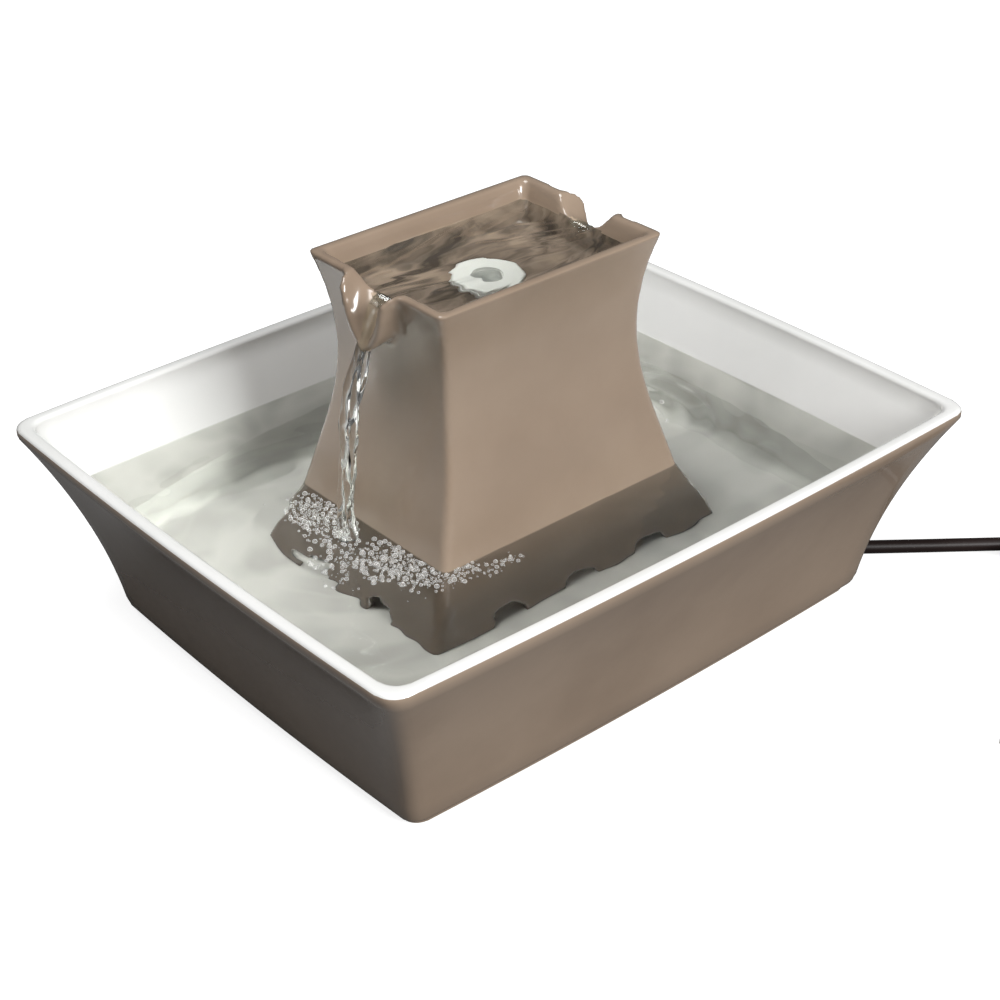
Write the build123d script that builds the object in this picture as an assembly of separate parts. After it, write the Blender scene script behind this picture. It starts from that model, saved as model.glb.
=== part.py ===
from build123d import *
import math
import os

os.makedirs("parts", exist_ok=True)

# Pet water fountain. Millimetres, +Z up. The origin is on the table, under the middle of
# the bowl. The bowl's long side runs along X and the two pouring lips face -X and +X.

# ---------------------------------------------------------------- bowl
BOWL_LENGTH = 320.0         # rim, corner to corner along X
BOWL_WIDTH = 269.0          # rim, corner to corner along Y
BOWL_HEIGHT = 96.0
BOWL_WALL = 6.2             # wall, measured level
WALL_FLARE = 28.6           # how far the rim stands out past the wall's lower edge
WALL_ARC_RADIUS = 250.0     # hollow curve of the flared wall, in profile
RIM_BAND = 4.0              # upright edge of the rim
RIM_BOW = 3.0               # outward bow of each side at the rim
BASE_BOW = 1.5              # and at the wall's lower edge
BOWL_CORNER = 11.0          # upright corners, outside
BOWL_INNER_CORNER = 10.0
BOWL_RIM_ROUND = 1.9
LOWER_EDGE_ROUND = 3.0
FOOT_STEP = 3.8             # the foot ring is set in from the wall's lower edge
FOOT_HEIGHT = 4.0
FOOT_RING = 8.0             # width of the ring that touches the table
FLOOR_UNDERSIDE = 9.0       # height of the recessed underside over the table
FLOOR_THICKNESS = 6.0
FLOOR_CORNER = 9.0          # round between the floor and the inner wall
BOWL_SECTION_COUNT = 6      # sections that carry the wall's arc

# ---------------------------------------------------------------- tower
TOWER_TOP = 178.4           # height of the tower's rim over the table
TOWER_WAIST = 137.0         # height of the narrowest section
WAIST_HALF_X = 53.2
WAIST_HALF_Y = 37.5
UPPER_ARC_X = 124.0         # profile radii above and below the waist
LOWER_ARC_X = 155.0
UPPER_ARC_Y = 139.0
LOWER_ARC_Y = 125.0
LOWER_SLOPE_X = 0.29        # straight skirt below the lower arcs, run per rise
LOWER_SLOPE_Y = 0.22
TOWER_CORNER = 6.0          # upright corners, outside
TOWER_INNER_CORNER = 4.0
TOWER_WALL = 5.0
TOWER_SECTION_COUNT = 9     # sections that carry the outer, basin and hollow forms
BASIN_SECTION_COUNT = 4
HOLLOW_SECTION_COUNT = 7
BASIN_DEPTH = 29.0          # from the rim down to the basin's floor
BASIN_FLOOR = 5.5           # thickness of the basin's floor
BASIN_ROUND = 3.0
ARCH_WIDTH = 20.0           # water arches in the tower's lower edge
ARCH_HEIGHT = 11.0
ARCH_ROUND = 7.0
LONG_SIDE_ARCHES = (-41.0, 0.0, 41.0)
SHORT_SIDE_ARCHES = (-22.0, 22.0)

# ---------------------------------------------------------------- pouring lips
LIP_REACH = 11.0            # how far the lip's tip stands out from the waist
LIP_DROP = 27.6             # from the rim down to the lip's tip
LIP_HALF_WIDTH = 16.5       # channel, at the rim
LIP_WALL = 3.2
LIP_CORNER = 5.4            # upright corners of the lip's nose, at most
CORNER_SHARE = 0.9          # and at most this share of its half width
LIP_ROOT = 3.0              # the lip's body starts this far inside the wall
WEIR_DROP = 10.0            # from the rim down to the channel's entry
SHOULDER = 4.5              # flare of the channel where it meets the rim
RUN_IN = 4.0                # the channel starts this far inside the basin
RUN_IN_RISE = 0.5
BELLY_WIDTH = 0.62          # share of the half width where the channel's side turns upright
BELLY_HEIGHT = 0.33         # and the share of its depth
# Channel from the weir out past the tip: share of the reach, of the fall and of the width.
CHANNEL_STATIONS = (
    (0.0, 0.0, 0.95),
    (0.4, 0.284, 0.9),
    (0.75, 0.545, 0.86),
    (1.0, 1.0, 0.82),
    (1.364, 1.455, 0.8),
)
# Lip's body from the rim down: share of the drop, of the reach and of the width.
BEAK_STATIONS = (
    (0.0, 1.0, 1.0),
    (0.35, 1.0, 0.88),
    (0.75, 1.0, 0.66),
    (1.116, 0.945, 0.42),
    (1.471, 0.227, 0.25),
)

# ---------------------------------------------------------------- fits
SLIDE_FIT = 0.1             # radial or side gap of pieces that slide or turn in each other
SEAT_FIT = 0.05             # radial gap of pieces that are pushed together for good
LOOSE_FIT = 0.3             # gap of soft pieces and of free curved faces
OVERCUT = 10.0              # how far cutting solids run past what they cut
SHORT_CUT = 1.0             # the same, where there is little room
HAIR = 0.01                 # keeps a cut from ending flush with a face

# ---------------------------------------------------------------- riser and nozzle
TUBE_BORE = 6.1
TUBE_WALL = 1.9
TUBE_END_GAP = 1.0          # from the tube's lower end down to the chamber
NOZZLE_WALL = 2.8
NOZZLE_FLANGE = 15.2        # radius of the ring on the basin's floor
NOZZLE_FLANGE_THICKNESS = 2.8
NOZZLE_FLANGE_ROUND = 1.2
NOZZLE_BELOW = 8.0          # sleeve below the basin's floor
MOUTH_STEP = 0.3            # the outlet mouth is wider than the tube's bore by this radius
MOUTH_THICKNESS = 1.7
GASKET_THICKNESS = 1.6
GASKET_SHOW = 0.4           # the gasket stands out past the flange
NUT_WALL = 6.1
NUT_HEIGHT = 5.0
NUT_GRIPS = 12
NUT_GRIP_RADIUS = 1.2
NUT_GRIP_OUTSET = 0.4

# ---------------------------------------------------------------- pump
CUP_HEIGHT = 5.0            # suction cups hold the pump off the floor
CUP_RADIUS = 5.4
CUP_LIP = 1.4
CUP_HOLLOW = 1.6
CUP_NECK = 3.2              # neck radius, and the height at which the neck starts
CUP_STEM = 2.4
CUP_STEM_HEIGHT = 3.0
CUP_INSET = 0.3             # from the cup's edge to the pump's outline
STEM_ROOM = 1.2             # free space round the stem inside the resin
MOTOR_GAP = 1.0             # from the riser tube to the motor's front face
MOTOR_CORNER = 4.0
AXIS_HEIGHT = 17.5          # rotor's axis over the pump's base
MAGNET_RADIUS = 9.4
MAGNET_LENGTH = 13.0
WATER_GAP = 0.5             # round the magnet, in its well
MAGNET_END_GAP = 1.5
WELL_WALL = 1.3
ROTOR_SLEEVE = 3.0
SHAFT_RADIUS = 1.25
BUSH_RADIUS = 3.6
BUSH_LENGTH = 3.0
STATOR_POCKET_WALL = 1.8
CORE_STACK = 11.0           # lamination stack, along X
CORE_LIMB = 5.0
CORE_GAP = 0.4              # resin in front of the winding
WINDING = 3.6               # winding thickness round the yoke
WINDING_ROUND = 2.4
WINDING_END_GAP = 0.6
WINDING_TOP_GAP = 0.6
WINDING_WELL_GAP = 1.7
RESIN_SIDE = 2.0            # resin beside each limb
RESIN_DROP = 1.2            # the resin ends this far inside the motor's back
GRIP_RIBS = 3               # finger ribs on both sides of the motor
GRIP_RIB_DEPTH = 1.2
GRIP_RIB_HEIGHT = 2.0
GRIP_RIB_PITCH = 5.0
GRIP_RIB_INSET = 4.5

# ---------------------------------------------------------------- impeller chamber
BLADES = 6
BLADE_RADIUS = 11.4
BLADE_THICKNESS = 1.3
BLADE_LENGTH = 7.0
BLADE_ROOT = 0.5            # the blades reach this far into the sleeve
BLADE_CLEARANCE = 1.2       # round the blades' tips and in front of them
DISC_INSET = 3.2            # the back disc is smaller than the blades
DISC_THICKNESS = 1.6
CHAMBER_DEPTH = 13.0
VOLUTE_WALL = 2.0
FLANGE_THICKNESS = 3.0
FLANGE_CORNER = 3.0
FLANGE_SIDE = 3.0           # flange outside the seal: at the sides, top and bottom
FLANGE_TOP = 2.0
FLANGE_BOTTOM = 1.5
EYE_RADIUS = 8.0            # inlet eye of the impeller chamber
SPOKES = 3
SPOKE_WIDTH = 1.6
HUB_WALL = 1.4
HUB_NOSE = 0.5
SPIGOT_WALL = 1.5
SPIGOT_HEIGHT = 17.0        # over the chamber
SEAL_OUTSET = 2.4           # from the chamber's bore to the seal's outer edge
SEAL_WIDTH = 2.0
SEAL_THICKNESS = 1.4

# ---------------------------------------------------------------- pump intake
INTAKE_ROOM = 5.5           # from the chamber's front to the slotted face
INTAKE_WALL = 1.6
SLOT_PITCH = 6.0
SLOT_WIDTH = 3.0
SLOT_HEIGHT = 17.0
SLOT_COUNT = 4
SLIDER_THICKNESS = 1.6
SLIDER_TRAVEL = 3.0
SLIDER_EDGE = 2.0           # slider above and below its slots
RAIL = 1.4                  # guide rails of the slider
RAIL_INSET = 2.0
FINGER_RISE = 2.6           # rib that a fingertip pushes
FINGER_THICKNESS = 1.2
FINGER_INSET = 0.4
FINGER_HEIGHT = 10.0

# ---------------------------------------------------------------- filters
CADDY_WALL = 2.0
CADDY_HEIGHT = 44.0
CADDY_RIB = 2.0
RIB_REACH = 3.0             # ribs overlap the foam and the cartridge by about this much
FOAM_THICKNESS = 9.0
FOAM_WIDTH = 42.0
FOAM_HEIGHT = 38.0
FOAM_GAP = 1.0              # from the slider's rib to the foam
FILTER_THICKNESS = 10.0
FILTER_HEIGHT = 42.0
FILTER_FRAME = 2.4
FILTER_CORNER = 2.0
FILTER_BARS = 3
BAR_WIDTH = 1.6
BAR_THICKNESS = 1.2
TAB_HEIGHT = 7.0
TAB_WIDTH = 14.0
TAB_THICKNESS = 2.4
TAB_ROUND = 3.0
TAB_HOLE = 2.0

# ---------------------------------------------------------------- flex
CORD = 6.4                  # diameter
CORD_LIFT = 0.1             # the flex lies this far over the table
CORD_HEADING = -40.2        # the flex leaves straight, this far round from +X, degrees
BOOT_LENGTH = 5.0           # outside the motor's back
BOOT_INSIDE = 2.5
BOOT_WALL = 2.0
BOOT_GAP = 0.2              # from the boot's inner end to the rear bush's housing
BOOT_ROUND = 1.2
GLAND_AT = (53.8, -3.4)     # middle of the gland, on the cord boss's sloped face
GLAND_RISE = 6.5            # over the bowl's floor
GLAND_WALL = 2.8
GLAND_FLANGE = 2.2          # the flange's reach past the neck
GLAND_FLANGE_THICKNESS = 2.0
GLAND_TAIL = 1.5            # gland inside the boss
GLAND_MARGIN = 1.7          # sloped face round the flange
INNER_BEND = 18.0           # bend of the pump's flex between its boot and the gland
BOSS_WALL = 5.0
BOSS_ROOF = 5.5
BOSS_ROOM = 1.0             # hollow beside the gland's tail
BOSS_RIDGE = 2.0
BOSS_BACK = 19.5            # from the gland back to where the boss meets the floor
BOSS_BACK_WALL = 3.0
BOSS_BACK_ROOF = 2.5
BOSS_ROUND = 1.8
ROOF_REACH = 27.0           # the hollow under the floor ends this far from the gland
NOTCH_SIDE = 1.6            # room round the flex in the foot ring
NOTCH_TOP = 1.4
NOTCH_ROUND = 3.5
COIL_MIDDLE = 36.0          # radius of the coil's middle turns
COIL_COLUMNS = 3
COIL_LAYERS = 2
COIL_ROUND = 2.4
TIE_WIDTH = 8.0
TIE_THICKNESS = 0.9
TIE_ANGLE = 10.0            # place of the tie round the coil, degrees from +X

# Flex outside: out of the gland, down to the table, out through the notch and on to the coil.
CORD_ROUTE = [
    (57.34, -6.39, 16.87),
    (67.70, -15.15, 3.30),
    (107.69, -46.84, 3.30),
    (145.61, -80.98, 3.30),
    (235.74, -157.15, 4.50),
]
# From the coil's outer turn to the plug.
TAIL_ROUTE = [
    (208.37, -231.93, 4.50),
    (192.40, -231.93, 4.50),
    (172.40, -231.93, 8.60),
    (156.40, -231.93, 8.60),
]
BEND_SHARE = 0.45           # a bend takes at most this share of the shorter run beside it

# ---------------------------------------------------------------- plug
PLUG_LENGTH = 34.0
PLUG_WIDTH = 24.0
PLUG_HEIGHT = 17.0
# Plug from the flex to the face: share of the length, width and height, and the corner.
PLUG_STATIONS = (
    (0.0, 0.56, 0.74, 5.0),
    (0.35, 0.86, 0.94, 6.0),
    (0.65, 0.98, 1.0, 6.0),
    (1.0, 1.0, 0.97, 5.0),
)
GROOVES = 3                 # finger grooves on each side
GROOVE_START = 0.42         # shares of the plug's length
GROOVE_STEP = 0.14
GROOVE_RADIUS = 1.2
GROOVE_OUTSET = 0.2
GROOVE_SHARE = 0.6          # of the plug's height
RELIEF_LENGTH = 26.0
RELIEF_RADIUS = 5.6
RELIEF_WALL = 0.9
RELIEF_RINGS = 5
RELIEF_GROOVE = 1.4
RELIEF_GROOVE_DEPTH = 0.7
PIN_SPACING = 12.7          # between the plug's two blades
PIN_LENGTH = 17.5
PIN_WIDTH = 6.3
PIN_THICKNESS = 1.5
PIN_ROUND = 1.6
PIN_HOLE = 1.5
PIN_HOLE_BACK = 4.0         # from the blade's tip

# ---------------------------------------------------------------- places worked out
FLOOR = FLOOR_UNDERSIDE + FLOOR_THICKNESS
WALL_TOP = BOWL_HEIGHT - RIM_BAND

TIP = WAIST_HALF_X + LIP_REACH
WEIR = TOWER_TOP - WEIR_DROP
LIP_TIP = TOWER_TOP - LIP_DROP

BASIN_BOTTOM = TOWER_TOP - BASIN_DEPTH
BASIN_UNDERSIDE = BASIN_BOTTOM - BASIN_FLOOR
TUBE_RADIUS = TUBE_BORE + TUBE_WALL
NOZZLE_BORE = TUBE_RADIUS + SLIDE_FIT
NOZZLE_RADIUS = NOZZLE_BORE + NOZZLE_WALL
NOZZLE_HOLE = NOZZLE_RADIUS + LOOSE_FIT
FLANGE_BASE = BASIN_BOTTOM + GASKET_THICKNESS
NOZZLE_TOP = FLANGE_BASE + NOZZLE_FLANGE_THICKNESS
TUBE_TOP = NOZZLE_TOP - MOUTH_THICKNESS - LOOSE_FIT
GASKET_RADIUS = NOZZLE_FLANGE + GASKET_SHOW
NUT_RADIUS = NOZZLE_RADIUS + NUT_WALL

CHAMBER_RADIUS = BLADE_RADIUS + BLADE_CLEARANCE
SEAL_RADIUS = CHAMBER_RADIUS + SEAL_OUTSET
FLANGE_HALF = SEAL_RADIUS + FLANGE_SIDE
WELL_RADIUS = MAGNET_RADIUS + WATER_GAP
WELL_OUTSIDE = WELL_RADIUS + WELL_WALL
WELL_DEPTH = MAGNET_LENGTH + 2 * MAGNET_END_GAP

PUMP_BASE = FLOOR + CUP_HEIGHT
AXIS_Z = PUMP_BASE + AXIS_HEIGHT
YOKE_BOTTOM = AXIS_Z + WELL_OUTSIDE + WINDING_WELL_GAP + WINDING
YOKE_TOP = YOKE_BOTTOM + CORE_LIMB
PUMP_TOP = YOKE_TOP + WINDING + WINDING_TOP_GAP + STATOR_POCKET_WALL
PUMP_HALF = WELL_OUTSIDE + CORE_LIMB + RESIN_SIDE + STATOR_POCKET_WALL
MOTOR_FRONT = TUBE_RADIUS + MOTOR_GAP
WELL_BACK = MOTOR_FRONT + WELL_DEPTH
BUSH_BACK = WELL_BACK + BUSH_LENGTH
MOTOR_BACK = BUSH_BACK + WELL_WALL + BOOT_GAP + BOOT_INSIDE
CORE_START = MOTOR_FRONT + STATOR_POCKET_WALL + CORE_GAP + WINDING
CORE_END = CORE_START + CORE_STACK
CUP_OFFSET = CUP_RADIUS + CUP_INSET
CUP_PLACES = [(x, y) for x in (MOTOR_FRONT + CUP_OFFSET, MOTOR_BACK - CUP_OFFSET)
              for y in (CUP_OFFSET - PUMP_HALF, PUMP_HALF - CUP_OFFSET)]

CHAMBER_FRONT = MOTOR_FRONT - CHAMBER_DEPTH
VOLUTE_FRONT = CHAMBER_FRONT - VOLUTE_WALL
FLANGE_BACK = MOTOR_FRONT - FLANGE_THICKNESS
FLANGE_LOW = AXIS_Z - SEAL_RADIUS - FLANGE_BOTTOM
FLANGE_HIGH = AXIS_Z + SEAL_RADIUS + FLANGE_TOP
BUSH_FRONT = CHAMBER_FRONT - BUSH_LENGTH
SPIGOT_RADIUS = TUBE_BORE - SLIDE_FIT
SPIGOT_TOP = AXIS_Z + CHAMBER_RADIUS + SPIGOT_HEIGHT
TUBE_BOTTOM = AXIS_Z + CHAMBER_RADIUS + VOLUTE_WALL + TUBE_END_GAP
SHAFT_BORE = SHAFT_RADIUS + SEAT_FIT
BLADE_FRONT = CHAMBER_FRONT + BLADE_CLEARANCE
BLADE_BACK = BLADE_FRONT + BLADE_LENGTH
MAGNET_FRONT = MOTOR_FRONT + MAGNET_END_GAP
MAGNET_BACK = MAGNET_FRONT + MAGNET_LENGTH

INTAKE_FRONT = VOLUTE_FRONT - INTAKE_ROOM
SLIDER_BACK = INTAKE_FRONT - SLIDE_FIT
SLIDER_FRONT = SLIDER_BACK - SLIDER_THICKNESS
SLIDER_HALF_Y = FLANGE_HALF - RAIL_INSET - SLIDER_TRAVEL
SLIDER_HALF_Z = SLOT_HEIGHT / 2 + SLIDER_EDGE
SLOTS = [SLOT_PITCH * (i - (SLOT_COUNT - 1) / 2) for i in range(SLOT_COUNT)]

FOAM_BACK = SLIDER_FRONT - FINGER_RISE - FOAM_GAP
FOAM_FRONT = FOAM_BACK - FOAM_THICKNESS
FILTER_BACK = FOAM_FRONT - CADDY_RIB - 2 * LOOSE_FIT
FILTER_FRONT = FILTER_BACK - FILTER_THICKNESS
FILTER_HALF = FOAM_WIDTH / 2
CADDY_FLOOR = FLOOR + CADDY_WALL
FILTER_BASE = CADDY_FLOOR + LOOSE_FIT
FILTER_TOP = FILTER_BASE + FILTER_HEIGHT
CADDY_INSIDE = FILTER_HALF + LOOSE_FIT
CADDY_OUTSIDE = CADDY_INSIDE + CADDY_WALL

CORD_HOLE = CORD / 2 + SEAT_FIT
SLANT = math.sqrt(0.5)
HEADING = math.radians(CORD_HEADING)
ALONG = Vector(math.cos(HEADING), math.sin(HEADING), 0)
PLUNGE = ALONG * SLANT - Vector(0, 0, SLANT)
GLAND_RADIUS = CORD / 2 + GLAND_WALL
GLAND_FLANGE_RADIUS = GLAND_RADIUS + GLAND_FLANGE
GLAND = Vector(*GLAND_AT, FLOOR + GLAND_RISE)
GLAND_END = GLAND + PLUNGE * (BOSS_WALL + GLAND_TAIL)
BOOT_RADIUS = CORD / 2 + BOOT_WALL
BOSS_RISE = 2 * SLANT * (GLAND_FLANGE_RADIUS + GLAND_MARGIN)
RIDGE = FLOOR + BOSS_RISE
HOLLOW_WIDTH = 2 * (GLAND_RADIUS + BOSS_ROOM)
BOSS_WIDTH = HOLLOW_WIDTH + 2 * BOSS_WALL

COIL_HALF = CORD * COIL_COLUMNS / 2
COIL_HEIGHT = CORD * COIL_LAYERS
COIL_LIFT = CORD_LIFT + TIE_THICKNESS + LOOSE_FIT
COIL_OUTER_TURN = COIL_MIDDLE + CORD * (COIL_COLUMNS - 1) / 2
COIL_CENTRE = Vector(*CORD_ROUTE[-1]) + ALONG.rotate(Axis.Z, -90) * COIL_OUTER_TURN


def save(shape, node):
    export_step(shape, f"parts/{node}.step")


def box(low, high):
    """Box between two corners."""
    size = [b - a for a, b in zip(low, high)]
    return Pos(*low) * Box(*size, align=(Align.MIN, Align.MIN, Align.MIN))


def rod_x(start, end, radius, y=0.0, z=AXIS_Z):
    """Cylinder along X, on the rotor's axis unless told otherwise."""
    plane = Plane((start, y, z), z_dir=(1, 0, 0))
    return extrude(plane * Circle(radius), end - start)


def rod_z(bottom, top, radius, x=0.0, y=0.0):
    return extrude(Pos(x, y, bottom) * Circle(radius), top - bottom)


def ring_x(start, end, radius, bore):
    return rod_x(start, end, radius) - rod_x(start - SHORT_CUT, end + SHORT_CUT, bore)


def rounded_block(low, high, corner):
    """Box along X whose four long edges are rounded."""
    block = box(low, high)
    return fillet(block.edges().filter_by(Axis.X), corner)


def spread(low, high, count):
    """Evenly spaced values from low to high, both included."""
    return [low + (high - low) * i / (count - 1) for i in range(count)]


# ---------------------------------------------------------------- bowl
def bowed_rectangle(half_x, half_y, bow, corner):
    """Flat face with four outward-bowed sides and round corners."""
    outline = Wire([
        ThreePointArc((-half_x, -half_y), (0, -half_y - bow), (half_x, -half_y)),
        ThreePointArc((half_x, -half_y), (half_x + bow, 0), (half_x, half_y)),
        ThreePointArc((half_x, half_y), (0, half_y + bow), (-half_x, half_y)),
        ThreePointArc((-half_x, half_y), (-half_x - bow, 0), (-half_x, -half_y)),
    ])
    sketch = Sketch() + Face(outline)
    return fillet(sketch.vertices(), corner)


def wall_inset(height):
    """How far the bowl's outer wall lies inside the rim at a height."""
    rise = WALL_TOP - FOOT_HEIGHT
    chord = math.hypot(WALL_FLARE, rise)
    reach = math.sqrt(WALL_ARC_RADIUS**2 - chord**2 / 4)
    centre_out = WALL_FLARE / 2 - reach * rise / chord
    centre_up = FOOT_HEIGHT + rise / 2 - reach * WALL_FLARE / chord
    return centre_out + math.sqrt(WALL_ARC_RADIUS**2 - (height - centre_up)**2)


def bowl_section(height, wall, corner):
    """The bowl's outline at a height, moved inwards by a wall."""
    inset = wall_inset(height) + wall
    share = (height - FOOT_HEIGHT) / (WALL_TOP - FOOT_HEIGHT)
    bow = BASE_BOW + (RIM_BOW - BASE_BOW) * share
    face = bowed_rectangle(BOWL_LENGTH / 2 - inset, BOWL_WIDTH / 2 - inset, bow, corner)
    return Pos(0, 0, height) * face


def bowl_form(low, wall, corner, top):
    """Flared solid between a low height and the rim, carried up as an upright band."""
    sections = [bowl_section(z, wall, corner) for z in spread(low, WALL_TOP, BOWL_SECTION_COUNT)]
    flared = loft(sections)
    band = extrude(bowl_section(WALL_TOP, wall, corner), top - WALL_TOP)
    return flared + band


def foot_plan(inset, height):
    """The foot's outline, set in from the rim, pushed up to a height."""
    plan = bowed_rectangle(BOWL_LENGTH / 2 - inset, BOWL_WIDTH / 2 - inset, BASE_BOW, BOWL_CORNER)
    return extrude(plan, height)


# ---------------------------------------------------------------- cord boss in the bowl
def from_gland(reach, height):
    """Point in the upright plane of the flex: reach along its heading from the gland."""
    point = GLAND + ALONG * reach
    return Vector(point.X, point.Y, height)


def upright_slab(outline, width):
    """Outline of (reach, height) pairs, thickened evenly to both sides of the flex."""
    points = [from_gland(reach, height) for reach, height in outline]
    side = Face(Wire(Polyline(*points, close=True).edges()))
    across = ALONG.rotate(Axis.Z, 90)
    slab = extrude(side, width / 2, dir=tuple(across))
    return slab + extrude(side, width / 2, dir=tuple(-across))


def make_boss():
    """Wedge on the bowl's floor whose sloped front carries the gland."""
    foot = -GLAND_RISE
    root = FLOOR_UNDERSIDE + SHORT_CUT
    outline = ((foot, root), (foot, FLOOR), (foot + BOSS_RISE, RIDGE),
               (foot + BOSS_RISE + BOSS_RIDGE, RIDGE), (BOSS_BACK, FLOOR), (BOSS_BACK, root))
    block = upright_slab(outline, BOSS_WIDTH)
    upper = block.edges().filter_by(lambda e: e.center().Z > FLOOR + HAIR)
    return fillet(upper, BOSS_ROUND)


def make_boss_hollow():
    """Open space under the boss, in which the flex turns down to the table."""
    shift = GLAND.Z - BOSS_WALL / SLANT
    peak = RIDGE - BOSS_ROOF
    outline = ((FLOOR_UNDERSIDE - shift, -OVERCUT), (FLOOR_UNDERSIDE - shift, FLOOR_UNDERSIDE),
               (peak - shift, peak), (BOSS_BACK - BOSS_BACK_WALL, FLOOR - BOSS_BACK_ROOF),
               (ROOF_REACH, FLOOR_UNDERSIDE), (ROOF_REACH, -OVERCUT))
    return upright_slab(outline, HOLLOW_WIDTH)


def along_gland(start, end, radius):
    """Cylinder on the gland's axis; 0 is on the boss's sloped face."""
    plane = Plane(GLAND + PLUNGE * start, z_dir=tuple(PLUNGE))
    return extrude(plane * Circle(radius), end - start)


def make_notch():
    """Arched way for the flex through the foot ring."""
    height = CORD_LIFT + CORD + NOTCH_TOP
    plane = Plane(from_gland(ROOF_REACH, 0), x_dir=tuple(ALONG.rotate(Axis.Z, 90)),
                  z_dir=tuple(ALONG))
    arch = Pos(0, height / 2) * Rectangle(CORD + 2 * NOTCH_SIDE, height)
    arch = fillet(arch.vertices().sort_by(Axis.Y)[-2:], NOTCH_ROUND)
    cutter = extrude(plane * arch, BOWL_LENGTH)
    return cutter + Pos(0, 0, -height / 2) * cutter


def make_bowl():
    """Flared ceramic bowl on a foot ring, with the cord boss, gland hole and notch."""
    outer = bowl_form(FOOT_HEIGHT, 0, BOWL_CORNER, BOWL_HEIGHT)
    outer = fillet(outer.faces().sort_by(Axis.Z)[0].edges(), LOWER_EDGE_ROUND)
    inner = bowl_form(FLOOR, BOWL_WALL, BOWL_INNER_CORNER, BOWL_HEIGHT + OVERCUT)
    inner = fillet(inner.faces().sort_by(Axis.Z)[0].edges(), FLOOR_CORNER)
    bowl = outer - inner
    bowl = fillet(bowl.faces().sort_by(Axis.Z)[-1].edges(), BOWL_RIM_ROUND)
    foot_inset = WALL_FLARE + FOOT_STEP
    bowl += foot_plan(foot_inset, FLOOR_UNDERSIDE)
    bowl -= foot_plan(foot_inset + FOOT_RING, FLOOR_UNDERSIDE)
    bowl += make_boss()
    bowl -= make_boss_hollow()
    bowl -= along_gland(-OVERCUT, BOSS_WALL + SLANT * BOSS_ROOF, GLAND_RADIUS + SEAT_FIT)
    return bowl - make_notch()


# ---------------------------------------------------------------- tower
def tower_half(height, waist, upper_arc, lower_arc, slope):
    """Half size of the tower at a height: an arc above the waist, an arc and a skirt below."""
    if height >= TOWER_WAIST:
        return waist + upper_arc - math.sqrt(upper_arc**2 - (height - TOWER_WAIST)**2)
    turn = math.atan(slope)
    arc_drop = lower_arc * math.sin(turn)
    drop = TOWER_WAIST - height
    if drop <= arc_drop:
        return waist + lower_arc - math.sqrt(lower_arc**2 - drop**2)
    return waist + lower_arc * (1 - math.cos(turn)) + (drop - arc_drop) * slope


def tower_section(height, wall, corner):
    """The tower's outline at a height, moved inwards by a wall."""
    half_x = tower_half(height, WAIST_HALF_X, UPPER_ARC_X, LOWER_ARC_X, LOWER_SLOPE_X) - wall
    half_y = tower_half(height, WAIST_HALF_Y, UPPER_ARC_Y, LOWER_ARC_Y, LOWER_SLOPE_Y) - wall
    return Pos(0, 0, height) * RectangleRounded(2 * half_x, 2 * half_y, corner)


def tower_form(low, high, count, wall, corner):
    return loft([tower_section(z, wall, corner) for z in spread(low, high, count)])


def channel_section(reach, bottom, half_width, top):
    """Upright U section of the pouring channel, facing along X."""
    belly = bottom + BELLY_HEIGHT * (TOWER_TOP - bottom)
    curve = Spline(
        (reach, -half_width - SHOULDER, TOWER_TOP + SHORT_CUT),
        (reach, -half_width, TOWER_TOP - SHOULDER),
        (reach, -BELLY_WIDTH * half_width, belly),
        (reach, 0, bottom),
        (reach, BELLY_WIDTH * half_width, belly),
        (reach, half_width, TOWER_TOP - SHOULDER),
        (reach, half_width + SHOULDER, TOWER_TOP + SHORT_CUT),
    )
    start, end = curve @ 0, curve @ 1
    lid = Polyline(end, (reach, end.Y, top), (reach, start.Y, top), start)
    return Face(Wire([curve, *lid.edges()]))


def make_channel():
    """The water's way over a lip, as a cutting solid on +X."""
    entry = (WAIST_HALF_X - TOWER_WALL - RUN_IN, WEIR + RUN_IN_RISE, CHANNEL_STATIONS[0][2])
    stations = [entry]
    for reach, fall, width in CHANNEL_STATIONS:
        stations.append((WAIST_HALF_X + reach * LIP_REACH, WEIR - fall * (WEIR - LIP_TIP), width))
    top = TOWER_TOP + OVERCUT
    return loft([channel_section(x, z, w * LIP_HALF_WIDTH, top) for x, z, w in stations])


def beak_section(height, reach, half_width):
    """Level section of the lip's body, from inside the wall out to its nose."""
    root = WAIST_HALF_X - LIP_ROOT
    outline = Polyline(
        (root, -half_width), (reach, -half_width), (reach, half_width), (root, half_width),
        close=True)
    face = Sketch() + Face(Wire(outline.edges()))
    corners = face.vertices().filter_by(lambda v: v.X > (root + reach) / 2)
    return Pos(0, 0, height) * fillet(corners, min(LIP_CORNER, CORNER_SHARE * half_width))


def make_beak():
    """The lip's body on +X, narrowing downwards into the wall like a corbel."""
    wide = LIP_HALF_WIDTH + LIP_WALL
    return loft([beak_section(TOWER_TOP - drop * LIP_DROP, WAIST_HALF_X + reach * LIP_REACH,
                              width * wide) for drop, reach, width in BEAK_STATIONS])


def arch_cutter(width, height, depth):
    """Arched slot, open at the bottom, along Y."""
    plane = Plane((0, -depth / 2, FLOOR), x_dir=(1, 0, 0), z_dir=(0, 1, 0))
    arch = Pos(0, (OVERCUT - height) / 2) * Rectangle(width, height + OVERCUT)
    return extrude(plane * fillet(arch.vertices().sort_by(Axis.Y)[:2], ARCH_ROUND), depth)


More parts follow.
